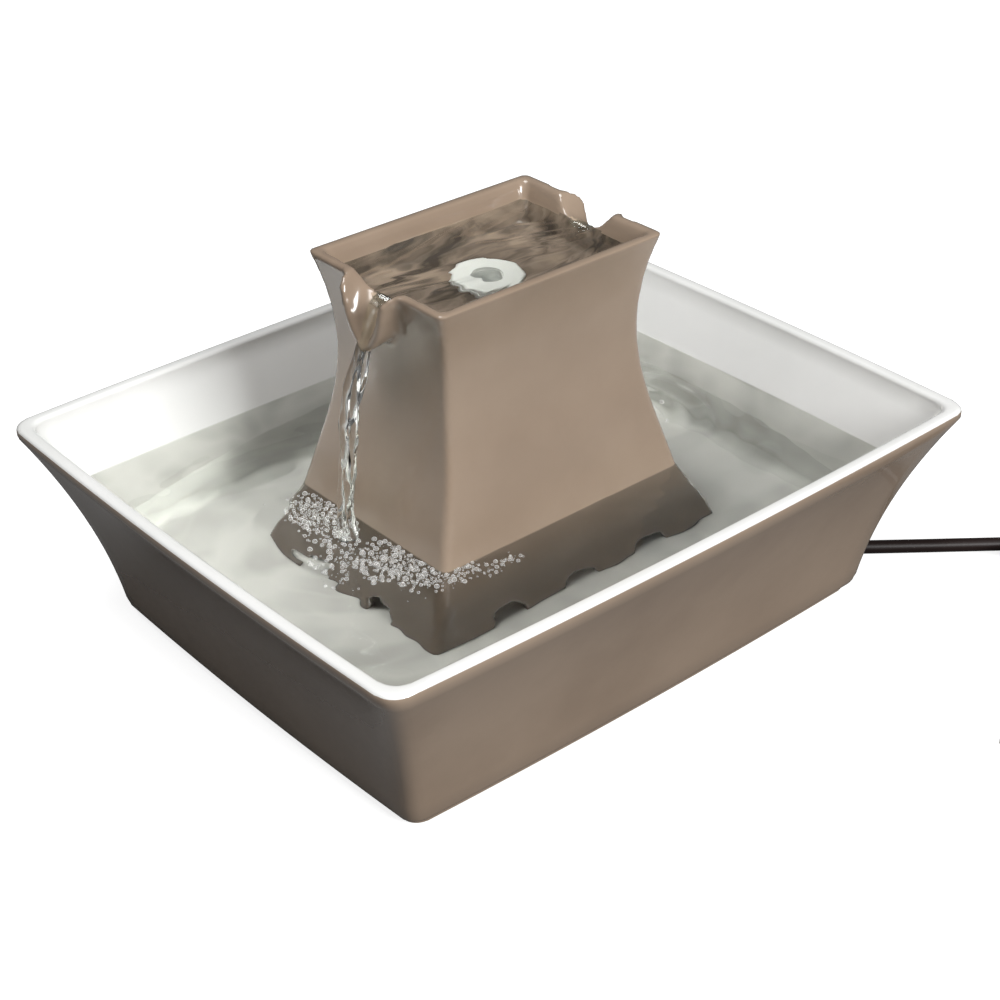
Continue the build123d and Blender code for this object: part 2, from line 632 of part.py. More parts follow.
def make_tower():
    """Hollow tower with an upper basin, two pouring lips, nozzle hole and water arches."""
    tower = tower_form(FLOOR, TOWER_TOP, TOWER_SECTION_COUNT, 0, TOWER_CORNER)
    beak = make_beak()
    tower += beak
    tower += Rot(0, 0, 180) * beak
    basin = tower_form(BASIN_BOTTOM, TOWER_TOP + HAIR, BASIN_SECTION_COUNT, TOWER_WALL,
                       TOWER_INNER_CORNER)
    tower -= fillet(basin.faces().sort_by(Axis.Z)[0].edges(), BASIN_ROUND)
    tower -= tower_form(FLOOR - SHORT_CUT, BASIN_UNDERSIDE, HOLLOW_SECTION_COUNT, TOWER_WALL,
                        TOWER_INNER_CORNER)
    channel = make_channel()
    tower -= channel
    tower -= Rot(0, 0, 180) * channel
    tower -= rod_z(BASIN_UNDERSIDE - OVERCUT, BASIN_BOTTOM + OVERCUT, NOZZLE_HOLE)
    arch = arch_cutter(ARCH_WIDTH, ARCH_HEIGHT, BOWL_LENGTH)
    for x in LONG_SIDE_ARCHES:
        tower -= Pos(x, 0, 0) * arch
    for y in SHORT_SIDE_ARCHES:
        tower -= Pos(0, y, 0) * Rot(0, 0, 90) * arch
    return tower


# ---------------------------------------------------------------- riser and nozzle
def make_nozzle():
    """Sleeve through the basin's floor, with its flange and narrowed mouth."""
    sleeve = rod_z(BASIN_UNDERSIDE - NOZZLE_BELOW, NOZZLE_TOP - HAIR, NOZZLE_RADIUS)
    flange = rod_z(FLANGE_BASE, NOZZLE_TOP, NOZZLE_FLANGE)
    flange = fillet(flange.edges().sort_by(Axis.Z)[-1], NOZZLE_FLANGE_ROUND)
    nozzle = sleeve + flange
    nozzle -= rod_z(0, TUBE_TOP + LOOSE_FIT, NOZZLE_BORE)
    return nozzle - rod_z(0, TOWER_TOP, TUBE_BORE + MOUTH_STEP)


def make_gasket():
    return (rod_z(BASIN_BOTTOM, FLANGE_BASE, GASKET_RADIUS)
            - rod_z(0, TOWER_TOP, NOZZLE_RADIUS + SEAT_FIT))


def make_nut():
    """Ring nut with finger grooves under the basin's floor."""
    bottom = BASIN_UNDERSIDE - NUT_HEIGHT
    nut = rod_z(bottom, BASIN_UNDERSIDE, NUT_RADIUS)
    groove = rod_z(bottom - SHORT_CUT, BASIN_UNDERSIDE + SHORT_CUT, NUT_GRIP_RADIUS,
                   x=NUT_RADIUS + NUT_GRIP_OUTSET)
    for i in range(NUT_GRIPS):
        nut -= Rot(0, 0, 360 * i / NUT_GRIPS) * groove
    return nut - rod_z(0, TOWER_TOP, NOZZLE_RADIUS + SEAT_FIT)


def make_tube():
    return rod_z(TUBE_BOTTOM, TUBE_TOP, TUBE_RADIUS) - rod_z(0, TOWER_TOP, TUBE_BORE)


# ---------------------------------------------------------------- pump motor
def limb(side):
    """One limb of the U core, beside the rotor's well."""
    near, far = sorted((side * WELL_OUTSIDE, side * (WELL_OUTSIDE + CORE_LIMB)))
    return box((CORE_START, near, AXIS_Z - CORE_LIMB), (CORE_END, far, YOKE_TOP))


def make_core():
    """Laminated U core: two limbs and a yoke."""
    yoke = box((CORE_START, -WELL_OUTSIDE, YOKE_BOTTOM), (CORE_END, WELL_OUTSIDE, YOKE_TOP))
    return limb(-1) + limb(1) + yoke


def make_winding():
    """Bobbin winding round the yoke."""
    reach = WELL_OUTSIDE - WINDING_END_GAP
    outer = box((CORE_START - WINDING, -reach, YOKE_BOTTOM - WINDING),
                (CORE_END + WINDING, reach, YOKE_TOP + WINDING))
    inner = box((CORE_START, -reach, YOKE_BOTTOM), (CORE_END, reach, YOKE_TOP))
    return fillet(outer.edges().filter_by(Axis.Y), WINDING_ROUND) - inner


def motor_block(wall, front, back):
    """The motor's outline, moved inwards by a wall."""
    half = PUMP_HALF - wall
    return rounded_block((front, -half, PUMP_BASE + wall), (back, half, PUMP_TOP - wall),
                         MOTOR_CORNER - wall)


def make_stator_pocket():
    """Room for core, winding and resin, open at the motor's back."""
    pocket = motor_block(STATOR_POCKET_WALL, MOTOR_FRONT + STATOR_POCKET_WALL,
                         MOTOR_BACK + OVERCUT)
    pocket -= rod_x(0, WELL_BACK + WELL_WALL, WELL_OUTSIDE)
    return pocket - rod_x(0, BUSH_BACK + WELL_WALL, BUSH_RADIUS + WELL_WALL)


def make_motor():
    """Moulded motor housing with the rotor's well, the stator pocket and cup holes."""
    motor = motor_block(0, MOTOR_FRONT, MOTOR_BACK)
    motor -= make_stator_pocket()
    motor -= rod_x(0, WELL_BACK, WELL_RADIUS)
    motor -= rod_x(0, BUSH_BACK, BUSH_RADIUS + SEAT_FIT)
    groove = rod_x(0, MOTOR_FRONT + SEAL_THICKNESS, SEAL_RADIUS + SEAT_FIT)
    motor -= groove - rod_x(0, MOTOR_BACK, SEAL_RADIUS - SEAL_WIDTH - SEAT_FIT)
    for x, y in CUP_PLACES:
        motor -= rod_z(0, PUMP_BASE + CUP_STEM_HEIGHT, CUP_STEM + SEAT_FIT, x, y)
    for side in (-1, 1):
        near, far = sorted((side * PUMP_HALF, side * (PUMP_HALF + GRIP_RIB_DEPTH)))
        rib = box((MOTOR_FRONT + GRIP_RIB_INSET, near, AXIS_Z),
                  (MOTOR_BACK - GRIP_RIB_INSET, far, AXIS_Z + GRIP_RIB_HEIGHT))
        for step in range(GRIP_RIBS):
            motor += Pos(0, 0, GRIP_RIB_PITCH * step) * rib
    return motor


def boot_place():
    """Where the flex leaves the motor's back, and its knee, worked back from the gland."""
    turn = math.acos(PLUNGE.X)
    reach = INNER_BEND * math.tan(turn / 2)
    down = (GLAND.X - MOTOR_BACK - BOOT_LENGTH - reach) / PLUNGE.X
    knee = GLAND - PLUNGE * down
    return Vector(MOTOR_BACK, knee.Y, knee.Z), knee


BOOT, KNEE = boot_place()


def make_resin(core, winding):
    """Resin that fills the stator pocket round the core and the winding."""
    fill = make_stator_pocket() & motor_block(0, MOTOR_FRONT, MOTOR_BACK - RESIN_DROP)
    fill -= core
    fill -= winding
    fill -= rod_x(BOOT.X - BOOT_INSIDE, BOOT.X, BOOT_RADIUS + SEAT_FIT, BOOT.Y, BOOT.Z)
    for x, y in CUP_PLACES:
        fill -= rod_z(0, PUMP_BASE + CUP_STEM_HEIGHT + STEM_ROOM, CUP_STEM + STEM_ROOM, x, y)
    return fill


def make_cup():
    """Suction cup: hollow skirt, neck and stem."""
    stem_top = CUP_HEIGHT + CUP_STEM_HEIGHT - SLIDE_FIT
    profile = Polyline((0, CUP_HOLLOW), (CUP_RADIUS - CUP_LIP, 0), (CUP_RADIUS, 0),
                       (CUP_NECK, CUP_NECK), (CUP_NECK, CUP_HEIGHT), (CUP_STEM, CUP_HEIGHT),
                       (CUP_STEM, stem_top), (0, stem_top), close=True)
    return revolve(Plane.XZ * Face(Wire(profile.edges())), Axis.Z)


# ---------------------------------------------------------------- impeller chamber
def make_spoke(angle):
    """One spoke of the inlet eye."""
    spoke = box((VOLUTE_FRONT, -SPOKE_WIDTH / 2, BUSH_RADIUS + HUB_WALL / 2),
                (CHAMBER_FRONT, SPOKE_WIDTH / 2, EYE_RADIUS + SHORT_CUT))
    return Pos(0, 0, AXIS_Z) * Rot(angle, 0, 0) * spoke


def make_volute():
    """Impeller chamber with its flange, inlet eye, spider and outlet spigot."""
    cover = rod_x(VOLUTE_FRONT, MOTOR_FRONT, CHAMBER_RADIUS + VOLUTE_WALL)
    cover += rounded_block((FLANGE_BACK, -FLANGE_HALF, FLANGE_LOW),
                           (MOTOR_FRONT, FLANGE_HALF, FLANGE_HIGH), FLANGE_CORNER)
    cover += rod_z(AXIS_Z, SPIGOT_TOP, SPIGOT_RADIUS)
    cover -= rod_x(CHAMBER_FRONT, MOTOR_FRONT + SHORT_CUT, CHAMBER_RADIUS)
    cover -= rod_x(VOLUTE_FRONT - SHORT_CUT, CHAMBER_FRONT + SHORT_CUT, EYE_RADIUS)
    for i in range(SPOKES):
        cover += make_spoke(180 + 360 * i / SPOKES)
    cover += rod_x(BUSH_FRONT - HUB_NOSE, CHAMBER_FRONT, BUSH_RADIUS + HUB_WALL)
    cover -= rod_x(BUSH_FRONT, CHAMBER_FRONT + SHORT_CUT, BUSH_RADIUS + SEAT_FIT)
    cover -= rod_z(AXIS_Z + CHAMBER_RADIUS / 2, SPIGOT_TOP + SHORT_CUT,
                   SPIGOT_RADIUS - SPIGOT_WALL)
    around_tube = rod_z(TUBE_BOTTOM - SHORT_CUT, TUBE_TOP, TUBE_RADIUS + LOOSE_FIT)
    return cover - (around_tube - rod_z(0, TUBE_TOP, SPIGOT_RADIUS))


def make_seal():
    """Flat ring pressed in the motor's groove by the chamber's flange."""
    return ring_x(MOTOR_FRONT, MOTOR_FRONT + SEAL_THICKNESS, SEAL_RADIUS, SEAL_RADIUS - SEAL_WIDTH)


def make_impeller():
    """Straight blades on a back disc, with the sleeve that carries the magnet."""
    wheel = rod_x(BLADE_FRONT, MAGNET_BACK, ROTOR_SLEEVE)
    wheel += rod_x(BLADE_BACK - DISC_THICKNESS / 2, BLADE_BACK + DISC_THICKNESS / 2,
                   BLADE_RADIUS - DISC_INSET)
    blade = box((BLADE_FRONT, -BLADE_THICKNESS / 2, ROTOR_SLEEVE - BLADE_ROOT),
                (BLADE_BACK, BLADE_THICKNESS / 2, BLADE_RADIUS))
    for i in range(BLADES):
        wheel += Pos(0, 0, AXIS_Z) * Rot(360 * i / BLADES, 0, 0) * blade
    return wheel - rod_x(BLADE_FRONT - SHORT_CUT, MAGNET_BACK + SHORT_CUT, SHAFT_BORE)


def make_magnet():
    return ring_x(MAGNET_FRONT, MAGNET_BACK, MAGNET_RADIUS, ROTOR_SLEEVE + SEAT_FIT)


def make_shaft():
    return rod_x(BUSH_FRONT + SLIDE_FIT, BUSH_BACK - SLIDE_FIT, SHAFT_RADIUS)


# ---------------------------------------------------------------- intake and regulator
def cut_slots(plate):
    """Row of upright slots through a plate that faces along X."""
    half = SLOT_HEIGHT / 2
    for y in SLOTS:
        plate -= box((INTAKE_FRONT - OVERCUT, y - SLOT_WIDTH / 2, AXIS_Z - half),
                     (INTAKE_FRONT + INTAKE_WALL + SHORT_CUT, y + SLOT_WIDTH / 2, AXIS_Z + half))
    return plate


def make_rail():
    """Upper guide rail of the slider: an angle that holds it to the slotted face."""
    edge = SLIDER_HALF_Z + SLIDE_FIT
    front = SLIDER_FRONT - SLIDE_FIT
    reach = FLANGE_HALF - RAIL_INSET
    rail = box((front - RAIL, -reach, edge), (INTAKE_FRONT, reach, edge + RAIL))
    return rail + box((front - RAIL, -reach, edge - RAIL), (front, reach, edge + RAIL))


def make_intake():
    """Cover over the impeller chamber, with slots and the slider's rails."""
    cover = rounded_block((INTAKE_FRONT, -FLANGE_HALF, FLANGE_LOW),
                          (FLANGE_BACK, FLANGE_HALF, FLANGE_HIGH), FLANGE_CORNER)
    inner = FLANGE_HALF - INTAKE_WALL
    cover -= rounded_block((INTAKE_FRONT + INTAKE_WALL, -inner, FLANGE_LOW + INTAKE_WALL),
                           (FLANGE_BACK + SHORT_CUT, inner, FLANGE_HIGH - INTAKE_WALL),
                           FLANGE_CORNER - INTAKE_WALL)
    clear = TUBE_RADIUS + LOOSE_FIT
    above = AXIS_Z + CHAMBER_RADIUS
    cover -= rod_z(above, TUBE_TOP, clear)
    cover -= box((0, -clear, above), (FLANGE_BACK + SHORT_CUT, clear, TUBE_TOP))
    cover = cut_slots(cover)
    rail = make_rail()
    cover += Pos(0, 0, AXIS_Z) * rail
    return cover + Pos(0, 0, AXIS_Z) * mirror(rail, about=Plane.XY)


def make_slider():
    """Slotted plate that slides across the intake slots, with a finger rib."""
    plate = box((SLIDER_FRONT, -SLIDER_HALF_Y, AXIS_Z - SLIDER_HALF_Z),
                (SLIDER_BACK, SLIDER_HALF_Y, AXIS_Z + SLIDER_HALF_Z))
    plate = cut_slots(plate)
    edge = SLIDER_HALF_Y - FINGER_INSET
    return plate + box(
        (SLIDER_FRONT - FINGER_RISE, edge - FINGER_THICKNESS, AXIS_Z - FINGER_HEIGHT / 2),
        (SLIDER_FRONT, edge, AXIS_Z + FINGER_HEIGHT / 2))


# ---------------------------------------------------------------- filters
def make_caddy():
    """Open carrier on the bowl's floor, whose ribs guide the foam and the cartridge."""
    front = FILTER_FRONT - LOOSE_FIT - CADDY_RIB
    back = FOAM_BACK + LOOSE_FIT + CADDY_RIB
    top = FLOOR + CADDY_HEIGHT
    caddy = box((front, -CADDY_OUTSIDE, FLOOR), (back, CADDY_OUTSIDE, CADDY_FLOOR))
    ribs = (front, FOAM_FRONT - LOOSE_FIT - CADDY_RIB, back - CADDY_RIB)
    for side in (-1, 1):
        low, high = sorted((side * CADDY_INSIDE, side * CADDY_OUTSIDE))
        caddy += box((front, low, FLOOR), (back, high, top))
        low, high = sorted((side * (CADDY_INSIDE - RIB_REACH), side * CADDY_OUTSIDE))
        for x in ribs:
            caddy += box((x, low, FLOOR), (x + CADDY_RIB, high, top))
    return caddy


def make_foam():
    return rounded_block((FOAM_FRONT, -FILTER_HALF, FILTER_BASE),
                         (FOAM_BACK, FILTER_HALF, FILTER_BASE + FOAM_HEIGHT), FILTER_CORNER)


def make_tab(middle):
    """Pull tab with a finger hole on top of the cartridge."""
    half = TAB_THICKNESS / 2
    tab = box((middle - half, -TAB_WIDTH / 2, FILTER_TOP - SHORT_CUT),
              (middle + half, TAB_WIDTH / 2, FILTER_TOP + TAB_HEIGHT))
    tab = fillet(tab.edges().filter_by(Axis.X).sort_by(Axis.Z)[-2:], TAB_ROUND)
    return tab - rod_x(middle - TAB_THICKNESS, middle + TAB_THICKNESS, TAB_HOLE,
                       z=FILTER_TOP + TAB_HEIGHT / 2)


def make_filter_frame():
    """Cartridge frame with bars on both faces and a pull tab."""
    frame = rounded_block((FILTER_FRONT, -FILTER_HALF, FILTER_BASE),
                          (FILTER_BACK, FILTER_HALF, FILTER_TOP), FILTER_CORNER)
    inner = FILTER_HALF - FILTER_FRAME
    frame -= box((FILTER_FRONT - SHORT_CUT, -inner, FILTER_BASE + FILTER_FRAME),
                 (FILTER_BACK + SHORT_CUT, inner, FILTER_TOP - FILTER_FRAME))
    for i in range(FILTER_BARS):
        y = 2 * inner * ((i + 1) / (FILTER_BARS + 1) - 0.5)
        for x in (FILTER_FRONT, FILTER_BACK - BAR_THICKNESS):
            frame += box((x, y - BAR_WIDTH / 2, FILTER_BASE + SHORT_CUT),
                         (x + BAR_THICKNESS, y + BAR_WIDTH / 2, FILTER_TOP - SHORT_CUT))
    return frame + make_tab((FILTER_FRONT + FILTER_BACK) / 2)


def make_filter_media():
    """Carbon block between the cartridge's bars."""
    side = FILTER_HALF - FILTER_FRAME - LOOSE_FIT
    deep = BAR_THICKNESS + LOOSE_FIT
    edge = FILTER_FRAME + LOOSE_FIT
    return rounded_block((FILTER_FRONT + deep, -side, FILTER_BASE + edge),
                         (FILTER_BACK - deep, side, FILTER_TOP - edge), FILTER_CORNER)


# ---------------------------------------------------------------- flex
def route_radii(points):
    """Largest arc at each corner that the runs beside it allow."""
    corners = [Vector(*p) for p in points]
    radii = []
    for before, corner, after in zip(corners, corners[1:], corners[2:]):
        first, second = corner - before, after - corner
        turn = math.radians(first.get_angle(second))
        radii.append(BEND_SHARE * min(first.length, second.length) / math.tan(turn / 2))
    return radii


def cord_tube(points, radii):
    """Tube of the flex along straight runs joined by tangent arcs."""
    path = FilletPolyline(*points, radius=radii)
    start = Vector(*points[0])
    plane = Plane(start, z_dir=tuple(Vector(*points[1]) - start))
    return sweep(plane * Circle(CORD / 2), path=path)


def make_boot():
    """Bush that leads the flex out of the motor's back."""
    boot = rod_x(BOOT.X - BOOT_INSIDE, BOOT.X + BOOT_LENGTH, BOOT_RADIUS, BOOT.Y, BOOT.Z)
    boot = fillet(boot.edges().sort_by(Axis.X)[-1], BOOT_ROUND)
    return boot - rod_x(0, BOOT.X + OVERCUT, CORD_HOLE, BOOT.Y, BOOT.Z)


def make_pump_cord():
    """Flex from the motor's back to the end of the gland."""
    start = BOOT - Vector(BOOT_INSIDE, 0, 0)
    return cord_tube([tuple(start), tuple(KNEE), tuple(GLAND_END)], [INNER_BEND])


def make_gland():
    """Rubber plug in the boss's sloped wall: flange, neck and bore."""
    plug = along_gland(-GLAND_FLANGE_THICKNESS, 0, GLAND_FLANGE_RADIUS)
    plug += along_gland(-GLAND_FLANGE_THICKNESS / 2, BOSS_WALL + GLAND_TAIL, GLAND_RADIUS)
    return plug - along_gland(-OVERCUT, BOSS_WALL + OVERCUT, CORD_HOLE)


def coil_ring(bottom, top, margin):
    """Ring round the coil's axis, wider than the coil's section by a margin."""
    half = COIL_HALF + margin
    ring = rod_z(bottom, top, COIL_MIDDLE + half, COIL_CENTRE.X, COIL_CENTRE.Y)
    return ring - rod_z(bottom - SHORT_CUT, top + SHORT_CUT, COIL_MIDDLE - half,
                        COIL_CENTRE.X, COIL_CENTRE.Y)


def make_coil():
    """Outer shape of the wound flex."""
    coil = coil_ring(COIL_LIFT, COIL_LIFT + COIL_HEIGHT, 0)
    return fillet(coil.edges(), COIL_ROUND)


def make_tie():
    """Band round the coil's section at one place."""
    inside = coil_ring(COIL_LIFT - LOOSE_FIT, COIL_LIFT + COIL_HEIGHT + LOOSE_FIT, LOOSE_FIT)
    band = LOOSE_FIT + TIE_THICKNESS
    outside = coil_ring(COIL_LIFT - band, COIL_LIFT + COIL_HEIGHT + band, band)
    slab = box((0, -TIE_WIDTH / 2, 0), (COIL_MIDDLE * 2, TIE_WIDTH / 2, COIL_HEIGHT * 2))
    return (outside - inside) & Pos(COIL_CENTRE.X, COIL_CENTRE.Y, 0) * Rot(0, 0, TIE_ANGLE) * slab


# ---------------------------------------------------------------- plug
def plug_frame():
    """Plane at the plug's back end that looks along the plug, on the table."""
    before, end = Vector(*TAIL_ROUTE[-2]), Vector(*TAIL_ROUTE[-1])
    heading = (end - before).normalized()
    origin = Vector(end.X, end.Y, PLUG_HEIGHT / 2 + CORD_LIFT)
    return Plane(origin, x_dir=tuple(heading.rotate(Axis.Z, 90)), z_dir=tuple(heading))


PLUG = plug_frame()


def make_plug():
    """Moulded plug body with finger grooves on both sides."""
    body = loft([
        PLUG * Pos(0, 0, RELIEF_LENGTH + along * PLUG_LENGTH)
        * RectangleRounded(width * PLUG_WIDTH, height * PLUG_HEIGHT, corner)
        for along, width, height, corner in PLUG_STATIONS])
    groove = Rot(90, 0, 0) * Cylinder(GROOVE_RADIUS, PLUG_HEIGHT * GROOVE_SHARE)
    for side in (-1, 1):
        for i in range(GROOVES):
            along = RELIEF_LENGTH + PLUG_LENGTH * (GROOVE_START + GROOVE_STEP * i)
            body -= PLUG * Pos(side * (PLUG_WIDTH / 2 + GROOVE_OUTSET), 0, along) * groove
    return body


def make_relief():
    """Tapered, grooved sleeve that leads the flex into the plug."""
    small = CORD_HOLE + RELIEF_WALL
    sleeve = loft([Circle(small), Pos(0, 0, RELIEF_LENGTH) * Circle(RELIEF_RADIUS)])
    for i in range(1, RELIEF_RINGS):
        share = i / RELIEF_RINGS
        radius = small + (RELIEF_RADIUS - small) * share
        groove = Circle(radius + SHORT_CUT) - Circle(radius - RELIEF_GROOVE_DEPTH)
        sleeve -= extrude(Pos(0, 0, RELIEF_LENGTH * share - RELIEF_GROOVE / 2) * groove, RELIEF_GROOVE)
    return PLUG * (sleeve - extrude(Circle(CORD_HOLE), RELIEF_LENGTH))


def make_blade(side):
    """Flat contact blade with a hole near its rounded tip."""
    front = RELIEF_LENGTH + PLUG_LENGTH
    x = side * PIN_SPACING / 2
    blade = Pos(x, 0, front + PIN_LENGTH / 2) * Box(PIN_THICKNESS, PIN_WIDTH, PIN_LENGTH)
    blade = fillet(blade.edges().filter_by(Axis.X).sort_by(Axis.Z)[-2:], PIN_ROUND)
    hole = Rot(0, 90, 0) * Cylinder(PIN_HOLE, 3 * PIN_THICKNESS)
    return PLUG * (blade - Pos(x, 0, front + PIN_LENGTH - PIN_HOLE_BACK) * hole)


# ---------------------------------------------------------------- nodes
save(make_bowl(), "bowl")
save(make_tower(), "tower")
save(make_nozzle(), "outlet_nozzle")
save(make_gasket(), "nozzle_gasket")
save(make_nut(), "nozzle_nut")
save(make_tube(), "outlet_tube")

stator_core = make_core()
stator_winding = make_winding()
save(stator_core, "stator_core")
save(stator_winding, "stator_winding")
save(make_resin(stator_core, stator_winding), "stator_resin")
save(make_motor(), "pump_housing")
cup = make_cup()
for number, (x, y) in enumerate(CUP_PLACES, 1):
    save(Pos(x, y, FLOOR) * cup, f"suction_cup_{number}")
save(make_volute(), "volute_cover")
save(make_seal(), "volute_seal")
save(make_impeller(), "impeller")
save(make_magnet(), "rotor_magnet")
save(make_shaft(), "rotor_shaft")
save(ring_x(BUSH_FRONT, CHAMBER_FRONT, BUSH_RADIUS, SHAFT_BORE), "shaft_bush_front")
save(ring_x(WELL_BACK, BUSH_BACK, BUSH_RADIUS, SHAFT_BORE), "shaft_bush_rear")
save(make_intake(), "intake_cover")
save(make_slider(), "flow_slider")

save(make_caddy(), "filter_caddy")
save(make_foam(), "intake_foam")
save(make_filter_frame(), "filter_frame")
save(make_filter_media(), "filter_media")

save(make_boot(), "cord_boot")
save(make_pump_cord(), "pump_cord")
save(make_gland(), "cord_gland")
cord_radii = route_radii(CORD_ROUTE)
tail_radii = route_radii(TAIL_ROUTE)
save(cord_tube(CORD_ROUTE, cord_radii), "cord")
save(make_coil(), "cord_coil")
save(make_tie(), "cord_tie")
save(cord_tube(TAIL_ROUTE, tail_radii), "cord_tail")
save(make_plug(), "plug_body")
save(make_relief(), "plug_relief")
for number, side in enumerate((-1, 1), 1):
    save(make_blade(side), f"plug_blade_{number}")

print("bends of the flex", [round(radius, 1) for radius in cord_radii])
print("bends of the tail", [round(radius, 1) for radius in tail_radii])
print("bend of the pump's flex", INNER_BEND)
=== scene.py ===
import math
import random

import bmesh
import bpy
from mathutils import Matrix, Vector, noise


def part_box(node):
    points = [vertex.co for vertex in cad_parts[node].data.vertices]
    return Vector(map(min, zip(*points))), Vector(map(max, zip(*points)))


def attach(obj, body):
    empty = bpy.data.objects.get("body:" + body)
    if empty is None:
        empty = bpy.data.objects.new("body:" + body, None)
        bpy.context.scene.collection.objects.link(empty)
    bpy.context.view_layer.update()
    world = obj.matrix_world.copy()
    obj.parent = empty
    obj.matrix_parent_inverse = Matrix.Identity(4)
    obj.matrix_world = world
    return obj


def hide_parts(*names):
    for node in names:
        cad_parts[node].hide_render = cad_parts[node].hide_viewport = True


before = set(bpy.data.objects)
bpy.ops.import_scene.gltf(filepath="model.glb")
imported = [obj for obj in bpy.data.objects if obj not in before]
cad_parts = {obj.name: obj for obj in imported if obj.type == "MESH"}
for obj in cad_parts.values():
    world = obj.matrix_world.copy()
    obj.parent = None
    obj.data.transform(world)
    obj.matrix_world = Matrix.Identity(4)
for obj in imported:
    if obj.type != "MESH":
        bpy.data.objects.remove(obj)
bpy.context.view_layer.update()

# Pet water fountain: glazed bowl and tower, water, pump, filter and flex. Metres, +Z up.

# ---------------------------------------------------------------- camera and light
CAMERA_AT = (-0.49704, -0.59532, 0.52686)
CAMERA_AZIMUTH = math.radians(-40.15)
CAMERA_RISE = math.radians(31.45)
CAMERA_ROLL = math.radians(-0.98)
LENS = 73.43

# ---------------------------------------------------------------- bowl
BOWL_HALF_X = 0.160
BOWL_HALF_Y = 0.1345
BOWL_TOP = 0.096
BOWL_WALL = 0.0062
WALL_FLARE = 0.0286         # the wall leans out by this from WALL_LOW to WALL_TOP
WALL_ARC = 0.250            # on an arc of this radius
WALL_LOW = 0.004
WALL_TOP = 0.092
BOWL_CORNER = 0.0062
FOOT_BOW = 0.0021           # sides bulge by this at the foot, and by 3 mm at the rim
RIM_ROUND = 0.0019
FOOT_IN = 0.0324            # the foot ring lies this far inside the rim
FOOT_RING = 0.008
UNDERSIDE = 0.009
FLOOR = 0.015
FLOOR_ROUND = 0.006
FOOT_EDGE = 0.0008          # small round of the foot ring
FOOT_TURN = 0.003           # round where the outer wall starts
UNGLAZED = 0.0007           # the foot ring is bare up to here
OUTLINE_CUTS = 27           # cuts along each side of a bowed outline

# ---------------------------------------------------------------- gland in the bowl's floor
GLAND_PLACE = (0.0538, -0.0034)
GLAND_HEIGHT = 0.0215
GLAND_RADIUS = 0.00605
GLAND_REACH = 0.024         # length of the gland's hole
GLAND_TILT = math.radians(135)
# Boss round the gland, along the flex: where its slope starts, its rise and its back.
BOSS_START = -0.0065
BOSS_RISE = 0.0140
BOSS_BACK = 0.0195
BOSS_WIDTH = 0.024
BOSS_ROUND = 0.0017
BOSS_CREST = 0.002          # length of its flat crest
BOSS_SINK = 0.003           # goes this deep into the floor
# Pocket under the boss, as (reach, height), and the notch in the foot ring for the flex.
POCKET = ((-0.00543, -0.01), (-0.00543, 0.009), (0.00907, 0.0235), (0.0165, 0.0125),
          (0.027, 0.009), (0.027, -0.01))
POCKET_WIDTH = 0.014
NOTCH_REACH = (0.027, 0.16)
NOTCH_WIDTH = 0.0096
NOTCH_HEIGHTS = (-0.005, 0.0079)
NOTCH_ROUND = 0.0034

# ---------------------------------------------------------------- tower and water
TOWER_FOOT = FLOOR
TOWER_TOP = 0.1784
TOWER_WAIST = 0.137
# Waist's half size, radii of the arcs over and under it, and slope of the skirt.
TOWER_SIDE_X = (0.0532, 0.124, 0.155, 0.29)
TOWER_SIDE_Y = (0.0375, 0.139, 0.125, 0.22)
TOWER_WALL = 0.005
TOWER_CORNER = 0.0024
TOWER_RIM = 0.0013
BASIN_FLOOR = 0.1494
BASIN_UNDER = 0.1439
BASIN_ROUND = 0.003
BASIN_REACH = 0.0535        # the basin's half length, with its wall's inner face
NOZZLE_HOLE = 0.0111
ARCH_WIDTH = 0.0175
ARCH_HEIGHT = 0.0095
LONG_SIDE_ARCHES = (-0.041, 0.0, 0.041)
SHORT_SIDE_ARCHES = (-0.022, 0.022)
TOWER_CUTS = 7              # cuts along each side of the tower's outline
SKIN_VOXEL = 0.0014         # grain of the tower's skin
# Softening of the skin: factor, rounds, and whether it leaves the lips out. Steps in and out
# in turn keep the size.
SOFTENING = ((0.5, 1, True), (-0.53, 1, True)) * 5 + ((0.5, 6, False),)
WATER_LEVEL = 0.067
BASIN_LEVEL = 0.1706
WALL_SINK = 0.0012          # water reaches this far into the glaze that holds it
SHADE_LINE_EDGE = 0.0004           # half width of the soft edge of the shade painted under a water line
BOW_SPARE = 0.002           # the bowl's water is this much wider, for the bowed sides
# Basin's water: half length, half width and height of its top and of its underside.
BASIN_WATER_TOP = (0.0533, 0.0371, BASIN_LEVEL)
BASIN_WATER_FLOOR = (0.0493, 0.0335, BASIN_FLOOR - 0.0004)
BASIN_WATER_CORNER = 0.004

# ---------------------------------------------------------------- pouring lips
LIP_SHOULDER = 0.0034
CHANNEL_SHOULDER = 0.0032
LIP_ROOT = 0.0022           # the lip starts this far into the wall, from its inner face
LIP_ZONE = (0.050, 0.026, 0.146)    # a lip's least distance, half width and least height
BELLY_SHARE = 0.33          # the belly is fullest at this share of a line's height
LINE_STEPS = 6              # points from one corner of a line to the next
# Lines across a lip: distance from the axis, height of the bottom, half width and how full
# the belly is. Channel from inside the basin out past the tip, then the lip's body.
CHANNEL = (
    (0.0442, 0.1689, 0.0140, 0.62),
    (0.0532, 0.1684, 0.0140, 0.62),
    (0.0582, 0.1632, 0.0134, 0.62),
    (0.0625, 0.1570, 0.0128, 0.60),
    (0.0656, 0.1517, 0.0120, 0.58),
    (0.0700, 0.1430, 0.0112, 0.56),
)
LIP_BODY = (
    (0.0502, 0.1519, 0.0164, 0.80),
    (0.0600, 0.1506, 0.0162, 0.74),
    (0.0636, 0.1494, 0.0152, 0.71),
    (0.0660, 0.1494, 0.0146, 0.70),
)
